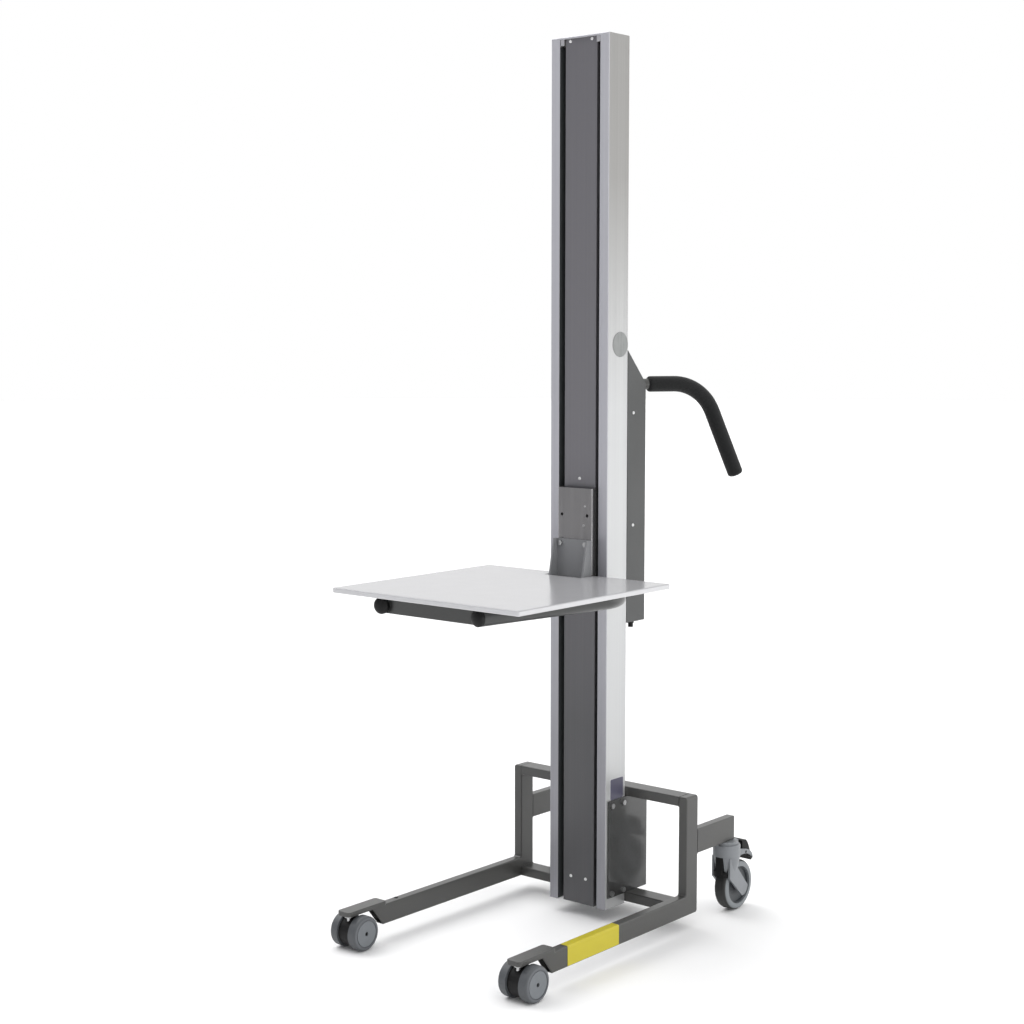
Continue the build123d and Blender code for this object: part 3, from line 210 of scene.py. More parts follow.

# Grey anodised cover sheet: darker, matt, with long rolling lines, and painted shade that darkens it
# towards its foot
cover_shade_drifts = [("Z", 0.95, 0.4, "#555557", "#575759", ())]
cover_grey = drawn_metal("grey_anodised_sheet", "#747377", "#767579", roughness=0.45, line_mm=6.0,
                         run_mm=900.0, depth_mm=0.001, metallic=0.5, drifts=cover_shade_drifts)
dress(cover_grey, "front_cover")

# %% [markdown]
# The other metals are bare, plated or turned. They use the same recipe with shorter runs: the belt
# grinder leaves broad bands on the carriage plate, and zinc plate is nearly without a direction, so
# its lines are hardly longer than they are wide.

# %% Bare, plated and turned metals
# Bare brushed steel: the carriage plate shows broad vertical bands from the belt grinder
brushed = drawn_metal("brushed_steel_plate", "#706F70", "#787778", roughness=0.24, line_mm=9.0,
                      run_mm=160.0, depth_mm=0.002, metallic=0.7)
dress(brushed, "carriage_plate", "carriage_frame")

# Zinc plate on small steel parts: bright, slightly mottled
zinc = drawn_metal("bright_zinc_plate", "#A6A7A9", "#BCBCBB", roughness=0.3, line_mm=1.5,
                   run_mm=2.0, depth_mm=0.01)
dress(zinc, "bracket_bolts", "tool_bolts", "roller_pins", "idler_bracket", "front_stems")

# The small cover screws have a whiter, duller zinc
screw_zinc = drawn_metal("white_zinc_plate", "#DADADA", "#E6E6E6", roughness=0.35, line_mm=1.5,
                         run_mm=2.0, depth_mm=0.01, metallic=0.2)

# Turned aluminium for the pulleys and blocks inside the mast
turned = drawn_metal("machined_aluminium", "#A9AAAD", "#C2C3C5", roughness=0.3, line_mm=1.2,
                     run_mm=40.0, depth_mm=0.01)
dress(turned, "drive_pulley", "idler_pulley", "cover_blocks")

# %% [markdown]
# The frame, the mast bracket, the fork and the box are powder coated. The powder flows out to a fine
# orange peel that breaks up the highlights. Orange peel is about 1 mm across on a real part; here it
# is drawn 2 to 6 mm across so that it still shows.

# %% Powder coats
def powder_coat(name, dark, light, roughness, peel_mm, coat=0.0, peel_depth=0.06):
    """A sprayed and baked coat: soft colour drift, an orange-peel bump and an even sheen."""
    material, tree, shader, place = start_finish(name, **{
        "Coat Weight": coat, "Coat Roughness": 0.12, "IOR": 1.5})
    drift = add_node(tree, "ShaderNodeTexNoise", {"Vector": place, "Scale": 9.0, "Detail": 2.0})
    colour = tones(tree, place, drift.outputs["Fac"], dark, light)
    wire(tree, shader, colour, *grain_of(
        tree, place, roughness, peel_mm, detail=1.0, strength=0.2, depth_mm=peel_depth))
    return material


# Semi-gloss dark grey on the tube frame
frame_coat = powder_coat("dark_grey_powder_coat", "#40403F", "#434341", 0.34, 6.0, peel_depth=0.012)
dress(frame_coat, "side_frame_left", "side_frame_right", "top_bar", "bottom_bar",
      "rear_bar_left", "rear_bar_right", "handle_left", "handle_right")

# The folded mast bracket is sprayed in the same grey but glossier
bracket_coat = powder_coat(
    "gloss_grey_powder_coat", "#1D1E1D", "#1E1F1E", 0.45, 6.0, coat=0.9, peel_depth=0.01)
dress(bracket_coat, "mast_bracket")

# The fork has the frame's grey under a glossy clear coat
fork_coat = powder_coat("clear_coated_grey", "#282928", "#2A2B2A", 0.35, 6.0, coat=0.2, peel_depth=0.01)
dress(fork_coat, "fork_tube", "fork_cross_bar")

# A lighter, flatter grey on the tool bracket
tool_coat = powder_coat("mid_grey_powder_coat", "#828385", "#88898B", 0.42, 2.5)
dress(tool_coat, "tool_bracket")

# The control box has a fine satin texture coat
box_coat = powder_coat("satin_grey_texture_coat", "#3E3F3F", "#444545", 0.5, 2.0)
dress(box_coat, "control_box")

# The gear motor's own grey enamel
motor_coat = powder_coat("motor_enamel", "#43464A", "#4C4F53", 0.4, 3.0)
dress(motor_coat, "gear_motor")

# %% [markdown]
# Moulded pieces take their surface from the mould: black polypropylene is finely sparked, the grey
# caster nylon is smoother, and the white platform is a glossy laminate that mirrors the mast a
# little. One recipe covers them, with the mould's grain as a bump and a slight drift of colour. A
# real grain is under a millimetre; it is drawn 1.2 to 4 mm across.

# %% Moulded plastics that show
def moulded(name, dark, light, roughness, grain_mm, grain_depth, ior=1.46, drifts=(), **more):
    """A moulded plastic with its mould grain, in millimetres, and a little drift in colour."""
    material, tree, shader, place = start_finish(name, IOR=ior, **more)
    drift = add_node(tree, "ShaderNodeTexNoise", {"Vector": place, "Scale": 25.0, "Detail": 3.0})
    colour = tones(tree, place, drift.outputs["Fac"], dark, light, drifts)
    wire(tree, shader, colour, *grain_of(
        tree, place, roughness, grain_mm, detail=2.0, strength=0.3, depth_mm=grain_depth))
    return material


# Glossy white laminate with a smooth, faintly mirroring top; its edges below the top are painted lighter, a
# painted highlight where the rim catches the light
board_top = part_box("platform")[1].z
painted_edge_light = [("Z", board_top - 0.0006, board_top - 0.002, "#C0C0C2", "#C4C4C6", ())]
white_laminate = moulded(
    "white_gloss_laminate", "#9F9FA1", "#A1A1A3", 0.18, 4.0, 0.001, ior=1.44, drifts=painted_edge_light)
dress(white_laminate, "platform")

# Sparked black polypropylene
black_plastic = moulded("black_polypropylene", "#090909", "#0E0E0E", 0.55, 1.5, 0.03,
                        **{"Specular IOR Level": 0.3})
dress(black_plastic, "charge_socket", "fork_caps", "front_hood_left", "front_hood_right",
      "rear_guard_left", "rear_guard_right", "brake_pedal_left", "brake_pedal_right")

# Grey glass-filled nylon of the rear caster housings
caster_nylon = moulded("grey_nylon", "#76797C", "#7F8286", 0.42, 2.0, 0.03)
dress(caster_nylon, "rear_fork_left", "rear_fork_right", "rear_stems")

# Dark grey wheel centres
hub_plastic = moulded("dark_grey_nylon", "#3D4144", "#46494C", 0.45, 2.0, 0.03)
dress(hub_plastic, "rear_hub_left", "rear_hub_right")

# Dark ABS for the control panel and the battery case
panel_abs = moulded("dark_abs", "#2B2D2F", "#333537", 0.5, 1.2, 0.04)
dress(panel_abs, "control_panel", "battery_pack")

# Grey silicone-capped push buttons
button_cap = moulded("grey_button_silicone", "#8E9092", "#999B9D", 0.45, 2.0, 0.02)
dress(button_cap, "up_button", "down_button")

# %% [markdown]
# Three more pieces are hidden in the mast and the box. They get the same recipe, so that they look
# right when a maker takes the cover off.

# %% Plastics inside
# Natural acetal guide rollers
acetal = moulded("natural_acetal", "#E2DFD6", "#EBE8E0", 0.3, 3.0, 0.02)
dress(acetal, "lower_roller_left", "lower_roller_right", "upper_roller_left", "upper_roller_right")

# Neoprene belt
belt_rubber = moulded("black_neoprene", "#161616", "#1E1E1E", 0.7, 2.0, 0.05)
dress(belt_rubber, "drive_belt")

# Green solder resist over the circuit board
solder_resist = moulded("green_solder_resist", "#1D5A33", "#26683D", 0.35, 4.0, 0.05)
dress(solder_resist, "control_board")

# %% [markdown]
# The grips are closed-cell rubber foam pushed over the tube. Foam has no gloss, only a fine skin of
# burst cells, so a small-scale Voronoi pattern makes both the bump and a slight speckle. The cells
# are about half a millimetre across; they are drawn at 1.6 mm.

# %% Foam grips
cell_mm, pit_mm = 1.6, 0.2
foam, tree, shader, place = start_finish("closed_cell_foam", **{
    "Sheen Weight": 0.08, "Sheen Roughness": 0.6, "Specular IOR Level": 0.25})
cells = add_node(tree, "ShaderNodeTexVoronoi", {
    "Vector": place, "Scale": 1 / (cell_mm * MM)}).outputs["Distance"]
speckle = add_node(tree, "ShaderNodeValToRGB", {"Fac": cells},
                   stops=[(0.1, "#0B0C0C"), (0.8, "#151617")])
skin = add_node(tree, "ShaderNodeMapRange", {"Value": cells, "To Min": 0.9, "To Max": 0.74})
pits = add_node(tree, "ShaderNodeBump", {
    "Height": cells, "Strength": 0.5, "Distance": pit_mm * MM})
wire(tree, shader, speckle.outputs["Color"], skin.outputs["Result"], pits.outputs["Normal"])
dress(foam, "grip_left", "grip_right")

# %% [markdown]
# A wheel's tread is darker than its sides, because the tread picks up dirt and is a softer compound.
# The colour therefore depends on the distance from the axle. A Mapping node moves the axle to the
# origin, and the length of what is left, without its X part, is that distance.

# %% Wheels with a darker tread
def two_tone_wheel(name, axle, tread_from, face, tread, hub=None, roughness=0.5):
    """A wheel finish about an axle along X: face colour inside tread_from metres, tread outside."""
    material, tree, shader, place = start_finish(name, IOR=1.5)
    centred = add_node(tree, "ShaderNodeMapping", {
        "Vector": place, "Location": (0, -axle[0], -axle[1]), "Scale": (0, 1, 1)})
    flat = add_node(tree, "ShaderNodeVectorMath", {0: centred.outputs["Vector"]}, operation="LENGTH")
    reach = tread_from * 1.25
    share = add_node(tree, "ShaderNodeMapRange", {
        "Value": flat.outputs["Value"], "From Min": 0.0, "From Max": reach})
    edge = tread_from / reach
    stops = [(0.0, hub or face), (edge, face), (edge + 0.03, tread)]
    if hub:
        stops += [(edge * 0.80, hub), (edge * 0.82, face)]
    ramp = add_node(tree, "ShaderNodeValToRGB", {"Fac": share.outputs["Result"]}, stops=stops)
    wire(tree, shader, ramp.outputs["Color"], *grain_of(
        tree, place, roughness, grain_mm=2.0, detail=2.0, strength=0.25, depth_mm=0.04))
    return material


def axle_and_radius(wheel):
    """Where a wheel's axle crosses the YZ plane, and the wheel's radius."""
    low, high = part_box(wheel)
    return ((low.y + high.y) / 2, (low.z + high.z) / 2), (high.z - low.z) / 2


# Grey polyurethane twin wheels with a paler middle
front_axle, front_radius = axle_and_radius("front_outer_wheel_right")
front_wheel = two_tone_wheel("grey_polyurethane_wheel", front_axle, front_radius * 0.9,
                             "#595C60", "#4C4F52", "#6B6F73")
dress(front_wheel, "front_outer_wheel_left", "front_outer_wheel_right",
      "front_inner_wheel_left", "front_inner_wheel_right")

# Grey rubber tyres with a nearly black tread
rear_axle, rear_radius = axle_and_radius("rear_tyre_right")
tyre = two_tone_wheel("grey_rubber_tyre", rear_axle, rear_radius * 0.93,
                      "#7C8083", "#232423", roughness=0.6)
dress(tyre, "rear_tyre_left", "rear_tyre_right")

# %% [markdown]
# Screw heads, dimples and plugs are all small round parts, so one function turns them about their
# own axis from a list of rings, as a lathe would. Another makes an object of a finished mesh and
# says which body of the lift it rides on.

# %% Small turned parts
def finished_mesh(name, mesh, body):
    """Makes an object of a finished mesh and lets it ride on a body."""
    piece = bpy.data.objects.new(name, mesh)
    bpy.context.scene.collection.objects.link(piece)
    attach(piece, body)
    return piece


def skin_loops(bm, loops):
    """Closes a stack of vertex loops with side faces, a top and a base."""
    count = len(loops[0])
    for lower, upper in zip(loops, loops[1:]):
        for i in range(count):
            bm.faces.new((lower[i], lower[(i + 1) % count], upper[(i + 1) % count], upper[i]))
    bm.faces.new(loops[-1])
    bm.faces.new(list(reversed(loops[0])))


def turned_part(name, radius, height, rings, steps=18):
    """A small part turned about +Z: rings are shares of the radius and of the height, base first."""
    mesh = bpy.data.meshes.new(name)
    bm = bmesh.new()
    angles = [math.tau * i / steps for i in range(steps)]
    skin_loops(bm, [
        [bm.verts.new((radius * across * math.cos(a), radius * across * math.sin(a), height * up))
         for a in angles] for across, up in rings])
    bm.to_mesh(mesh)
    bm.free()
    return bpy.data.objects.new(name, mesh)


# %% [markdown]
# The same screw sits in nine places. It could be copied by hand, but Geometry Nodes puts one modelled
# part on each point of a little point list, and the list is easy to change. The point carries the
# direction that the part faces, and the tree turns the part to it.

# %% A tree that repeats a part on points
def new_tree(name, **inputs):
    """A Geometry Nodes tree with a geometry input and output and the named inputs between them."""
    tree = bpy.data.node_groups.new(name, "GeometryNodeTree")
    for label, kind in {"Geometry": "Geometry", **inputs}.items():
        tree.interface.new_socket(label, in_out="INPUT", socket_type="NodeSocket" + kind)
    tree.interface.new_socket("Geometry", in_out="OUTPUT", socket_type="NodeSocketGeometry")
    return tree, add_node(tree, "NodeGroupInput").outputs


def repeat_tree():
    """Puts the given part on every point, turned to the point's own facing."""
    tree, given = new_tree("repeat_on_points", Part="Object", Size="Float", Finish="Material")
    part = add_node(tree, "GeometryNodeObjectInfo", {"Object": given["Part"]})
    facing = add_node(tree, "GeometryNodeInputNamedAttribute", {"Name": "facing"},
                      data_type="FLOAT_VECTOR")
    turn = add_node(tree, "FunctionNodeAlignRotationToVector", {
        "Vector": facing.outputs["Attribute"]}, axis="Z")
    placed = add_node(tree, "GeometryNodeInstanceOnPoints", {
        "Points": given["Geometry"], "Instance": part.outputs["Geometry"],
        "Rotation": turn.outputs["Rotation"], "Scale": given["Size"]})
    solid = add_node(tree, "GeometryNodeRealizeInstances", {"Geometry": placed.outputs["Instances"]})
    painted = add_node(tree, "GeometryNodeSetMaterial", {
        "Geometry": solid.outputs["Geometry"], "Material": given["Finish"]})
    add_node(tree, "NodeGroupOutput", {"Geometry": painted.outputs["Geometry"]})
    return tree


def made_by(tree, source, **inputs):
    """Runs a tree on a source object and returns the result as a plain mesh."""
    bpy.context.scene.collection.objects.link(source)
    modifier = source.modifiers.new("maker", "NODES")
    modifier.node_group = tree
    for item in tree.interface.items_tree:
        if item.item_type == "SOCKET" and item.in_out == "INPUT" and item.name in inputs:
            modifier[item.identifier] = inputs[item.name]
    shown = source.evaluated_get(bpy.context.evaluated_depsgraph_get())
    mesh = bpy.data.meshes.new_from_object(shown)
    source.modifiers.clear()
    bpy.data.objects.remove(source)
    return mesh


def points_facing(name, places):
    """A point list: each place has a point and the direction that its part faces."""
    mesh = bpy.data.meshes.new(name)
    mesh.from_pydata([p for p, _ in places], [], [])
    facing = mesh.attributes.new("facing", "FLOAT_VECTOR", "POINT")
    for item, (_, direction) in zip(facing.data, places):
        item.vector = direction
    return bpy.data.objects.new(name, mesh)


repeat = repeat_tree()
forward, right, left, up = (0, -1, 0), (1, 0, 0), (-1, 0, 0), (0, 0, 1)

# %% [markdown]
# Small screws hold the cover strip and the control box: a domed head with a round recess, which is
# all that shows of the drive at this size.

# %% Screws on the cover and the box
cover_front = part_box("front_cover")[0].y
box_low, box_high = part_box("control_box")
# Across and up on the cover: two at its top, one in the middle, two at its foot
cover_screws = ((-0.027, 1.7705), (0.027, 1.7705), (0.0, 0.905), (-0.019, 0.081), (0.019, 0.081))
box_screw_y, box_screw_heights = box_low.y + 0.019, (0.809, 1.0365)
screw_places = [((x, cover_front, z), forward) for x, z in cover_screws]
for z in box_screw_heights:
    screw_places += [((box_high.x, box_screw_y, z), right), ((box_low.x, box_screw_y, z), left)]
screw = turned_part("screw_head", 0.0038, 0.0026, [
    (1.0, 0.0), (1.0, 0.35), (0.86, 0.75), (0.5, 1.0), (0.42, 0.98), (0.4, 0.45)])
screw_mesh = made_by(repeat, points_facing("screw_points", screw_places),
                     Part=screw, Size=0.85, Finish=screw_zinc)
finished_mesh("cover_and_box_screws", screw_mesh, "base")
print("screws:", len(screw_places))

# %% [markdown]
# Two more small round things use the same tree: a pair of pressed dimples beside the right-hand free
# hole of the carriage plate, and a black plug in the drain hole on top of the left leg. The right
# leg's plug would be under the tape, so it isn't made.

# %% Dimples and a plug
plate_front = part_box("carriage_plate")[0].y
dimple_places = [((x, plate_front, z), forward) for x, z in ((0.0263, 0.851), (0.0232, 0.812))]
dimple = turned_part("dimple", 0.0024, 0.001, [(1.0, 0.0), (0.85, 0.55), (0.5, 0.9), (0.12, 1.0)])
dimple_mesh = made_by(repeat, points_facing("dimple_points", dimple_places),
                      Part=dimple, Size=1.0, Finish=zinc)
finished_mesh("carriage_dimples", dimple_mesh, "carriage")

leg_line, leg_top = 0.218, 0.070
plug_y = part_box("side_frame_right")[0].y + 0.152
plug_places = [((-leg_line, plug_y, leg_top), up)]
plug = turned_part("leg_plug", 0.0042, 0.0012, [(1.0, 0.0), (1.0, 0.4), (0.8, 0.9), (0.45, 1.0)])
plug_mesh = made_by(repeat, points_facing("plug_points", plug_places),
                    Part=plug, Size=1.0, Finish=black_plastic)
finished_mesh("leg_plug", plug_mesh, "base")
print("dimples:", len(dimple_places), "plugs:", len(plug_places))

# %% [markdown]
# The steel tubes are welded, and under the paint the beads still show as a chain of small overlapping
# waves. A bead follows a path, so a second tree resamples a line at the bead's pitch and puts a
# flattened blob on each point.

# %% A tree that lays a weld bead
def bead_tree():
    """Lays a chain of flattened blobs along lines, as a weld bead."""
    tree, given = new_tree("weld_bead", Width="Float", Pitch="Float", Finish="Material")
    path = add_node(tree, "GeometryNodeMeshToCurve", {"Mesh": given["Geometry"]})
    spaced = add_node(tree, "GeometryNodeResampleCurve", {
        "Curve": path.outputs["Curve"], "Length": given["Pitch"]}, mode="LENGTH")
    along = add_node(tree, "GeometryNodeInputTangent")
    turn = add_node(tree, "FunctionNodeAlignRotationToVector", {
        "Vector": along.outputs["Tangent"]}, axis="X")
    blob = add_node(tree, "GeometryNodeMeshIcoSphere", {"Radius": 0.5, "Subdivisions": 2})
    size = add_node(tree, "ShaderNodeCombineXYZ", {
        "X": given["Pitch"], "Y": given["Width"], "Z": given["Width"]})
    overlap = add_node(tree, "ShaderNodeVectorMath", {
        0: size.outputs["Vector"], 1: (1.7, 1.0, 1.0)}, operation="MULTIPLY")
    placed = add_node(tree, "GeometryNodeInstanceOnPoints", {
        "Points": spaced.outputs["Curve"], "Instance": blob.outputs["Mesh"],
        "Rotation": turn.outputs["Rotation"], "Scale": overlap.outputs["Vector"]})
    solid = add_node(tree, "GeometryNodeRealizeInstances", {"Geometry": placed.outputs["Instances"]})
    smooth = add_node(tree, "GeometryNodeSetShadeSmooth", {"Geometry": solid.outputs["Geometry"]})
    painted = add_node(tree, "GeometryNodeSetMaterial", {
        "Geometry": smooth.outputs["Geometry"], "Material": given["Finish"]})
    add_node(tree, "NodeGroupOutput", {"Geometry": painted.outputs["Geometry"]})
    return tree


def lines_object(name, runs):
    """Straight runs from one point to another as the edges of one mesh object."""
    mesh = bpy.data.meshes.new(name)
    mesh.from_pydata([point for run in runs for point in run],
                     [(2 * i, 2 * i + 1) for i in range(len(runs))], [])
    return bpy.data.objects.new(name, mesh)


bead = bead_tree()

# %% [markdown]
# The paths run along the inner corners where one tube meets another. On the frame these are the ends
# of the top, bottom and rear bars, and on the fork the ends of the flat cross bar. A bead's middle
# lies a little inside the corner, and a run stops short of the tube's rounded edge.

# %% Weld beads along the joints
bead_width = bead_pitch = 0.003
corner_sink, run_short, cross_bar_inset = 0.0006, 0.003, 0.007
top_low, top_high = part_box("top_bar")
bottom_bar_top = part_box("bottom_bar")[1].z
rear_low, rear_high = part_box("rear_bar_right")
bead_runs = []
for side in (-1, 1):
    x = side * (top_high.x - corner_sink)
    for z in (top_low.z, bottom_bar_top):
        bead_runs.append([(x, top_low.y + run_short, z), (x, top_high.y - run_short, z)])
    y = rear_low.y + corner_sink
    for z in (rear_low.z, rear_high.z):
        bead_runs.append([(side * (rear_low.x + run_short), y, z),
                          (side * (rear_high.x - run_short), y, z)])
bead_mesh = made_by(bead, lines_object("frame_bead_lines", bead_runs),
                    Width=bead_width, Pitch=bead_pitch, Finish=frame_coat)
finished_mesh("frame_weld_beads", bead_mesh, "base")

bar_low, bar_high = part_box("fork_cross_bar")
fork_runs = []
for side in (-1, 1):
    x = side * (bar_high.x - cross_bar_inset)
    fork_runs.append([(x, bar_low.y, bar_low.z + run_short), (x, bar_low.y, bar_high.z - run_short)])
fork_mesh = made_by(bead, lines_object("fork_bead_lines", fork_runs),
                    Width=bead_width, Pitch=bead_pitch, Finish=fork_coat)
finished_mesh("fork_weld_beads", fork_mesh, "carriage")
print("weld runs:", len(bead_runs) + len(fork_runs))

# %% [markdown]
# A band of yellow vinyl tape wraps the right leg, over the top and down the outer side. Tape is thin,
# so it is a sheet 0.3 mm proud of the tube that follows the tube's rounded edge. The vinyl is plain,
# with a slight gloss and the faint weave of its carrier.

# %% Yellow vinyl and a thin strip
def vinyl(name, dark, light, weave_mm=1.5):
    """Calendered vinyl tape: even colour, soft gloss, and a fine cloth carrier under it."""
    material, tree, shader, place = start_finish(name, IOR=1.52)
    weave = add_node(tree, "ShaderNodeTexChecker", {"Vector": place, "Scale": 1 / (weave_mm * MM)})
    drift = add_node(tree, "ShaderNodeTexNoise", {
        "Vector": place, "Scale": 40.0, "Detail": 2.0}).outputs["Fac"]
    gloss = add_node(tree, "ShaderNodeMapRange", {"Value": drift, "To Min": 0.36, "To Max": 0.48})
    relief = add_node(tree, "ShaderNodeBump", {
        "Height": weave.outputs["Fac"], "Strength": 0.15, "Distance": 0.03 * MM})
    wire(tree, shader, tones(tree, place, drift, dark, light),
         gloss.outputs["Result"], relief.outputs["Normal"])
    return material


def swept_strip(name, profiles, start, stop, place, thickness, material, body):
    """Thin strips: open profiles run from start to stop, put in place by a function of a, b and run."""
    mesh = bpy.data.meshes.new(name)
    bm = bmesh.new()
    for profile in profiles:
        near, far = [[bm.verts.new(place(a, b, run)) for a, b in profile] for run in (start, stop)]
        for i in range(len(profile) - 1):
            bm.faces.new((near[i], near[i + 1], far[i + 1], far[i]))
    bmesh.ops.recalc_face_normals(bm, faces=bm.faces[:])
    bm.to_mesh(mesh)
    bm.free()
    mesh.materials.append(material)
    piece = finished_mesh(name, mesh, body)
    wall = piece.modifiers.new("thickness", "SOLIDIFY")
    wall.thickness = thickness
    wall.offset = 0.0
    return piece


# %% [markdown]
# The tape's outline is drawn across the leg: from near the tube's inner edge, round the outer edge in
# six steps, and down to just above the tube's underside. The sweep then runs it along the leg.

# %% Yellow tape on the leg
tape_vinyl = vinyl("yellow_vinyl_tape", "#B8AB1A", "#BBAE1D")
tube_in, tube_out, tube_low, tube_edge = 0.205, 0.225, 0.030, 0.0025
inner_gap, lower_gap = 0.003, 0.002
tape_proud = tape_thickness = 0.0003
tape_front, tape_back = mast_low.y - 0.316, mast_low.y - 0.158
edge_steps = 6
outline = [(tube_in + inner_gap, leg_top + tape_proud)]
for step in range(edge_steps + 1):
    a = math.pi / 2 * (1 - step / edge_steps)
    outline.append((tube_out - tube_edge + (tube_edge + tape_proud) * math.cos(a),
                    leg_top - tube_edge + (tube_edge + tape_proud) * math.sin(a)))
outline.append((tube_out + tape_proud, tube_low + lower_gap))
swept_strip("leg_tape", [outline], tape_front, tape_back, lambda a, b, run: (a, run, b),
            tape_thickness, tape_vinyl, "base")
print("tape:", round((tape_back - tape_front) / MM), "mm long")

# %% [markdown]
# The two slots of the mast look nearly black, because their insides lie in shade. A dark strip on the
# inner wall of each column is put in each slot as painted shade. A dark wear strip clipped to the
# inner wall of each column would explain that, so one is put in each slot as a guess. It is made as
# the tape is, but runs upright, with a small lip behind.

# %% Dark strips of painted shade in the slots
# The strips are painted shade: a dark sheet where the slots' insides lie in shade
slot_shade_plastic = moulded("dark_wear_strip", "#333637", "#383B3C", 0.55, 2.0, 0.02)
wall_x, strip_gap, strip_thickness = 0.0505, 0.0004, 0.0005
strip_front, strip_back = mast_low.y + 0.0004, mast_low.y + 0.023
lip_back, lip_reach = mast_low.y + 0.0245, 0.0012
strip_foot, strip_head = mast_low.z + 0.002, mast_high.z - 0.014
strips = []
for side in (-1, 1):
    x = side * (wall_x - strip_gap)
    strips.append([(x, strip_front), (x, strip_back), (x - side * lip_reach, lip_back)])
swept_strip("slot_wear_strips", strips, strip_foot, strip_head, lambda a, b, run: (a, b, run),
            strip_thickness, slot_shade_plastic, "base")
print("slot shade strips:", len(strips))

# %% [markdown]
# Bare plates sit on the mast's right side: a round disc of grey aluminium sheet, and lower down a
# small pale polyester plate with a slate panel on it. Each is a rounded outline raised to a thin
# plate with a chamfer, because a sharp edge would catch no light.

# %% Bare plates
def bevelled_plate(name, outline, origin, thickness, material, body):
    """A thin plate that faces right, with a small chamfer round its outline."""
    mesh = bpy.data.meshes.new(name)
    bm = bmesh.new()
    chamfer = thickness * 0.5
    half_y, half_z = max(a for a, b in outline), max(b for a, b in outline)
    loops = []
    for inset, level in ((0.0, 0.0), (0.0, thickness - chamfer), (chamfer, thickness)):
        loops.append([bm.verts.new(Vector(origin) + Vector((
            level, a * (1 - inset / half_y), b * (1 - inset / half_z)))) for a, b in outline])
    skin_loops(bm, loops)
    bmesh.ops.recalc_face_normals(bm, faces=bm.faces[:])
    bm.to_mesh(mesh)
    bm.free()
    mesh.materials.append(material)
    return finished_mesh(name, mesh, body)


def rounded_outline(width, height, radius, steps=6):
    """A rectangle with rounded corners as a list of points round its middle."""
    points = []
    for cx, cy, start in ((1, 1, 0), (-1, 1, 90), (-1, -1, 180), (1, -1, 270)):
        for step in range(steps + 1):
            a = math.radians(start + 90 * step / steps)
            points.append((cx * (width / 2 - radius) + radius * math.cos(a),
                           cy * (height / 2 - radius) + radius * math.sin(a)))
    return points


plate_grey = drawn_metal("blank_aluminium_plate", "#7E807F", "#868887", roughness=0.45, line_mm=4.0,
                         run_mm=30.0, depth_mm=0.002, metallic=0.4)
pale_plate = moulded("blank_polyester_plate", "#B4B4B6", "#BABABC", 0.35, 3.0, 0.01)
slate_panel = moulded("slate_printed_panel", "#4C4B5A", "#515060", 0.35, 3.0, 0.01)
badge_across, badge_y, badge_z = 0.05, mast_low.y + 0.0406, 1.174
bevelled_plate("blank_badge", rounded_outline(badge_across, badge_across, 0.0249, 12),
               (mast_high.x, badge_y, badge_z), 0.0008, plate_grey, "base")
plate_y, plate_z, plate_corner = mast_low.y + 0.0365, 0.2735, 0.003
for name, size, proud, thickness, finish in (
        ("blank_plate", 0.045, 0.0, 0.0005, pale_plate),
        ("blank_panel", 0.0425, 0.0004, 0.0004, slate_panel)):
    bevelled_plate(name, rounded_outline(size, size, plate_corner),
                   (mast_high.x + proud, plate_y, plate_z), thickness, finish, "base")
print("bare plates: 3")

# %% [markdown]
# The floor is a wide, matt, pale disc just under the wheels. It belongs to the studio and not to the
# lift.

# %% Studio floor
floor_radius, floor_gap = 30.0, 0.0005
floor_mesh = bpy.data.meshes.new("studio_floor")
bm = bmesh.new()
bmesh.ops.create_circle(bm, cap_ends=True, segments=64, radius=floor_radius)
bm.to_mesh(floor_mesh)
bm.free()
floor = bpy.data.objects.new("studio_floor", floor_mesh)
bpy.context.scene.collection.objects.link(floor)
floor.location.z = cad_low.z - floor_gap
floor_coat, tree, shader, place = start_finish("matt_white_floor", Roughness=0.9)
soft = add_node(tree, "ShaderNodeTexNoise", {"Vector": place, "Scale": 0.8})
tone = add_node(tree, "ShaderNodeValToRGB", {"Fac": soft.outputs["Fac"]},
                stops=[(0.0, "#F4F4F4"), (1.0, "#F7F7F7")])
tree.links.new(tone.outputs["Color"], shader.inputs["Base Color"])
floor_mesh.materials.append(floor_coat)
print("floor:", floor_radius, "m in radius")

# %% [markdown]
# The surround is bright, with a grey screen to the camera's left. The metal of the mast takes its two
# tones, bright side and greyer front, partly from that surround. The screen only lights and
# reflects: where the camera looks past the floor it sees plain white.

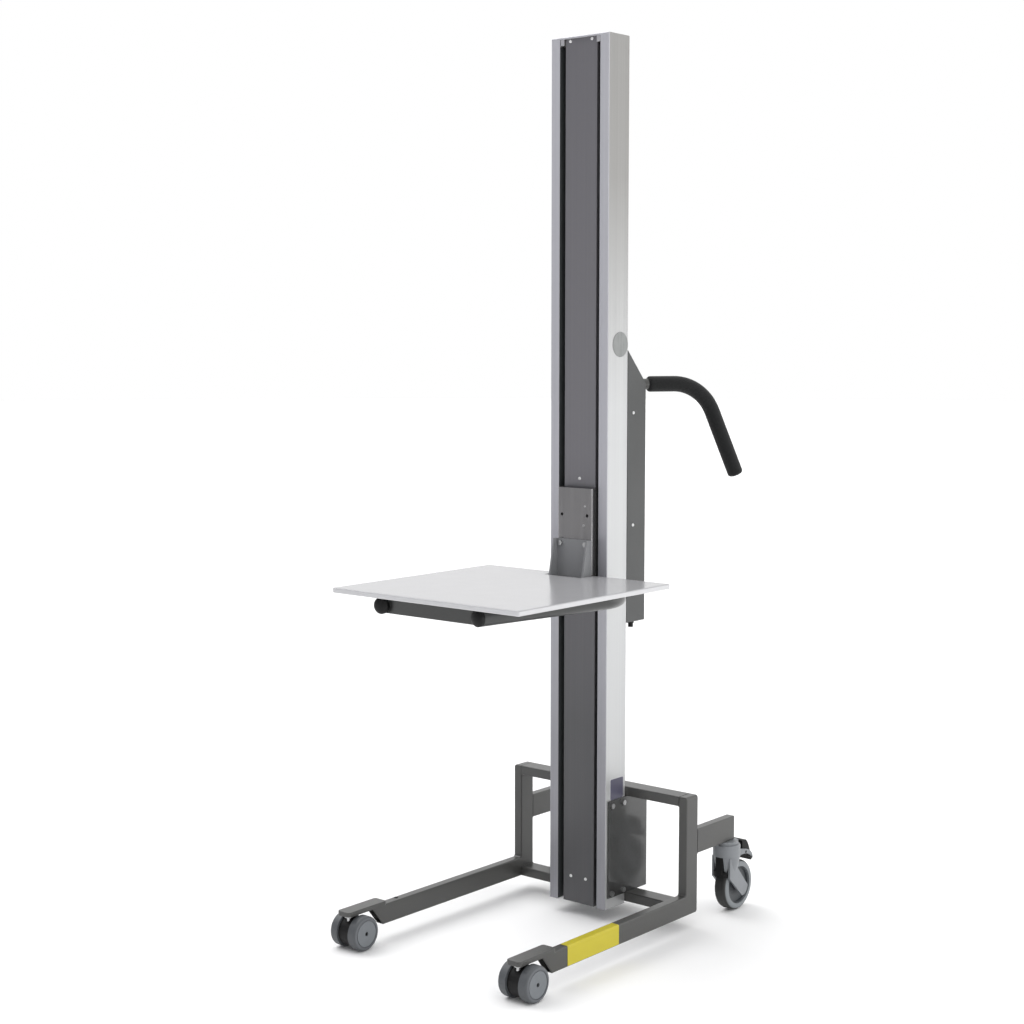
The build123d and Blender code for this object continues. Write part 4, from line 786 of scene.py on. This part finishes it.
# %% Studio surround
world = bpy.data.worlds.new("studio")
bpy.context.scene.world = world
world.use_nodes = True
tree = world.node_tree
tree.nodes.clear()
bright_side = (0.62, 0.75, 0.2)
way = add_node(tree, "ShaderNodeTexCoord").outputs["Generated"]
toward = add_node(tree, "ShaderNodeVectorMath", {0: way, 1: bright_side}, operation="DOT_PRODUCT")
share = add_node(tree, "ShaderNodeMapRange", {
    "Value": toward.outputs["Value"], "From Min": -1.0, "From Max": 1.0})
sky = add_node(tree, "ShaderNodeValToRGB", {"Fac": share.outputs["Result"]},
               stops=[(0.0, "#828287"), (0.25, "#939398"), (0.42, "#EAEAEA"), (1.0, "#FFFFFF")])
surround = add_node(tree, "ShaderNodeBackground", {"Color": sky.outputs["Color"], "Strength": 1.3})
backdrop = add_node(tree, "ShaderNodeBackground", {"Color": linear("#FFFFFF"), "Strength": 1.0})
seen = add_node(tree, "ShaderNodeLightPath")
mixed = add_node(tree, "ShaderNodeMixShader", {
    0: seen.outputs["Is Camera Ray"], 1: surround.outputs["Background"], 2: backdrop.outputs["Background"]})
add_node(tree, "ShaderNodeOutputWorld", {"Surface": mixed.outputs["Shader"]})
print("surround:", len(tree.nodes), "nodes")

# %% [markdown]
# Three lamps make a plain, soft studio: a broad light from above on the left, a large card at the far
# right, and a small lamp low on the right that draws the bright line down the carriage plate's bend.

# %% Studio lamps
def hang(lamp, facing, place=(0, 0, 0)):
    """Hangs a lamp at a place so that it shines along a direction."""
    holder = bpy.data.objects.new(lamp.name, lamp)
    holder.location = place
    holder.rotation_euler = Vector(facing).to_track_quat("-Z", "Y").to_euler()
    bpy.context.scene.collection.objects.link(holder)


sun = bpy.data.lights.new("overhead_sun", "SUN")
sun.energy = 1.6
sun.angle = math.radians(50)
hang(sun, (0.7, 0.12, -1.0))
for name, place, target, size, power in (
        ("side_card", (2.9, 3.4, 0.5), (0, 0, 0.7), 2.2, 14),
        ("strip_right", (3.1, -0.6, 0.55), (0, 0, 0.85), 0.55, 9)):
    lamp = bpy.data.lights.new(name, "AREA")
    lamp.size = size
    lamp.energy = power
    hang(lamp, Vector(target) - Vector(place), place)
    print("lamp:", name, power, "W")

# %% [markdown]
# The camera has the viewing angle of the photograph. Its place and lens were solved from the straight
# edges of the mast, the platform and the legs, and the lens is given on a 36 mm wide sensor.

# %% Camera
tilt_down, turn_left = 5.6, 40.1
camera_data = bpy.data.cameras.new("photo_camera")
camera_data.lens = 63.64
camera_data.sensor_width = 36.0
camera = bpy.data.objects.new("photo_camera", camera_data)
camera.location = (2.2382, mast_low.y - 2.8659, 1.1936)
camera.rotation_euler = (math.radians(90 - tilt_down), 0, math.radians(turn_left))
bpy.context.scene.collection.objects.link(camera)
bpy.context.scene.camera = camera
bpy.context.scene.view_settings.view_transform = "Standard"
print("camera:", round(camera_data.lens, 2), "mm lens")
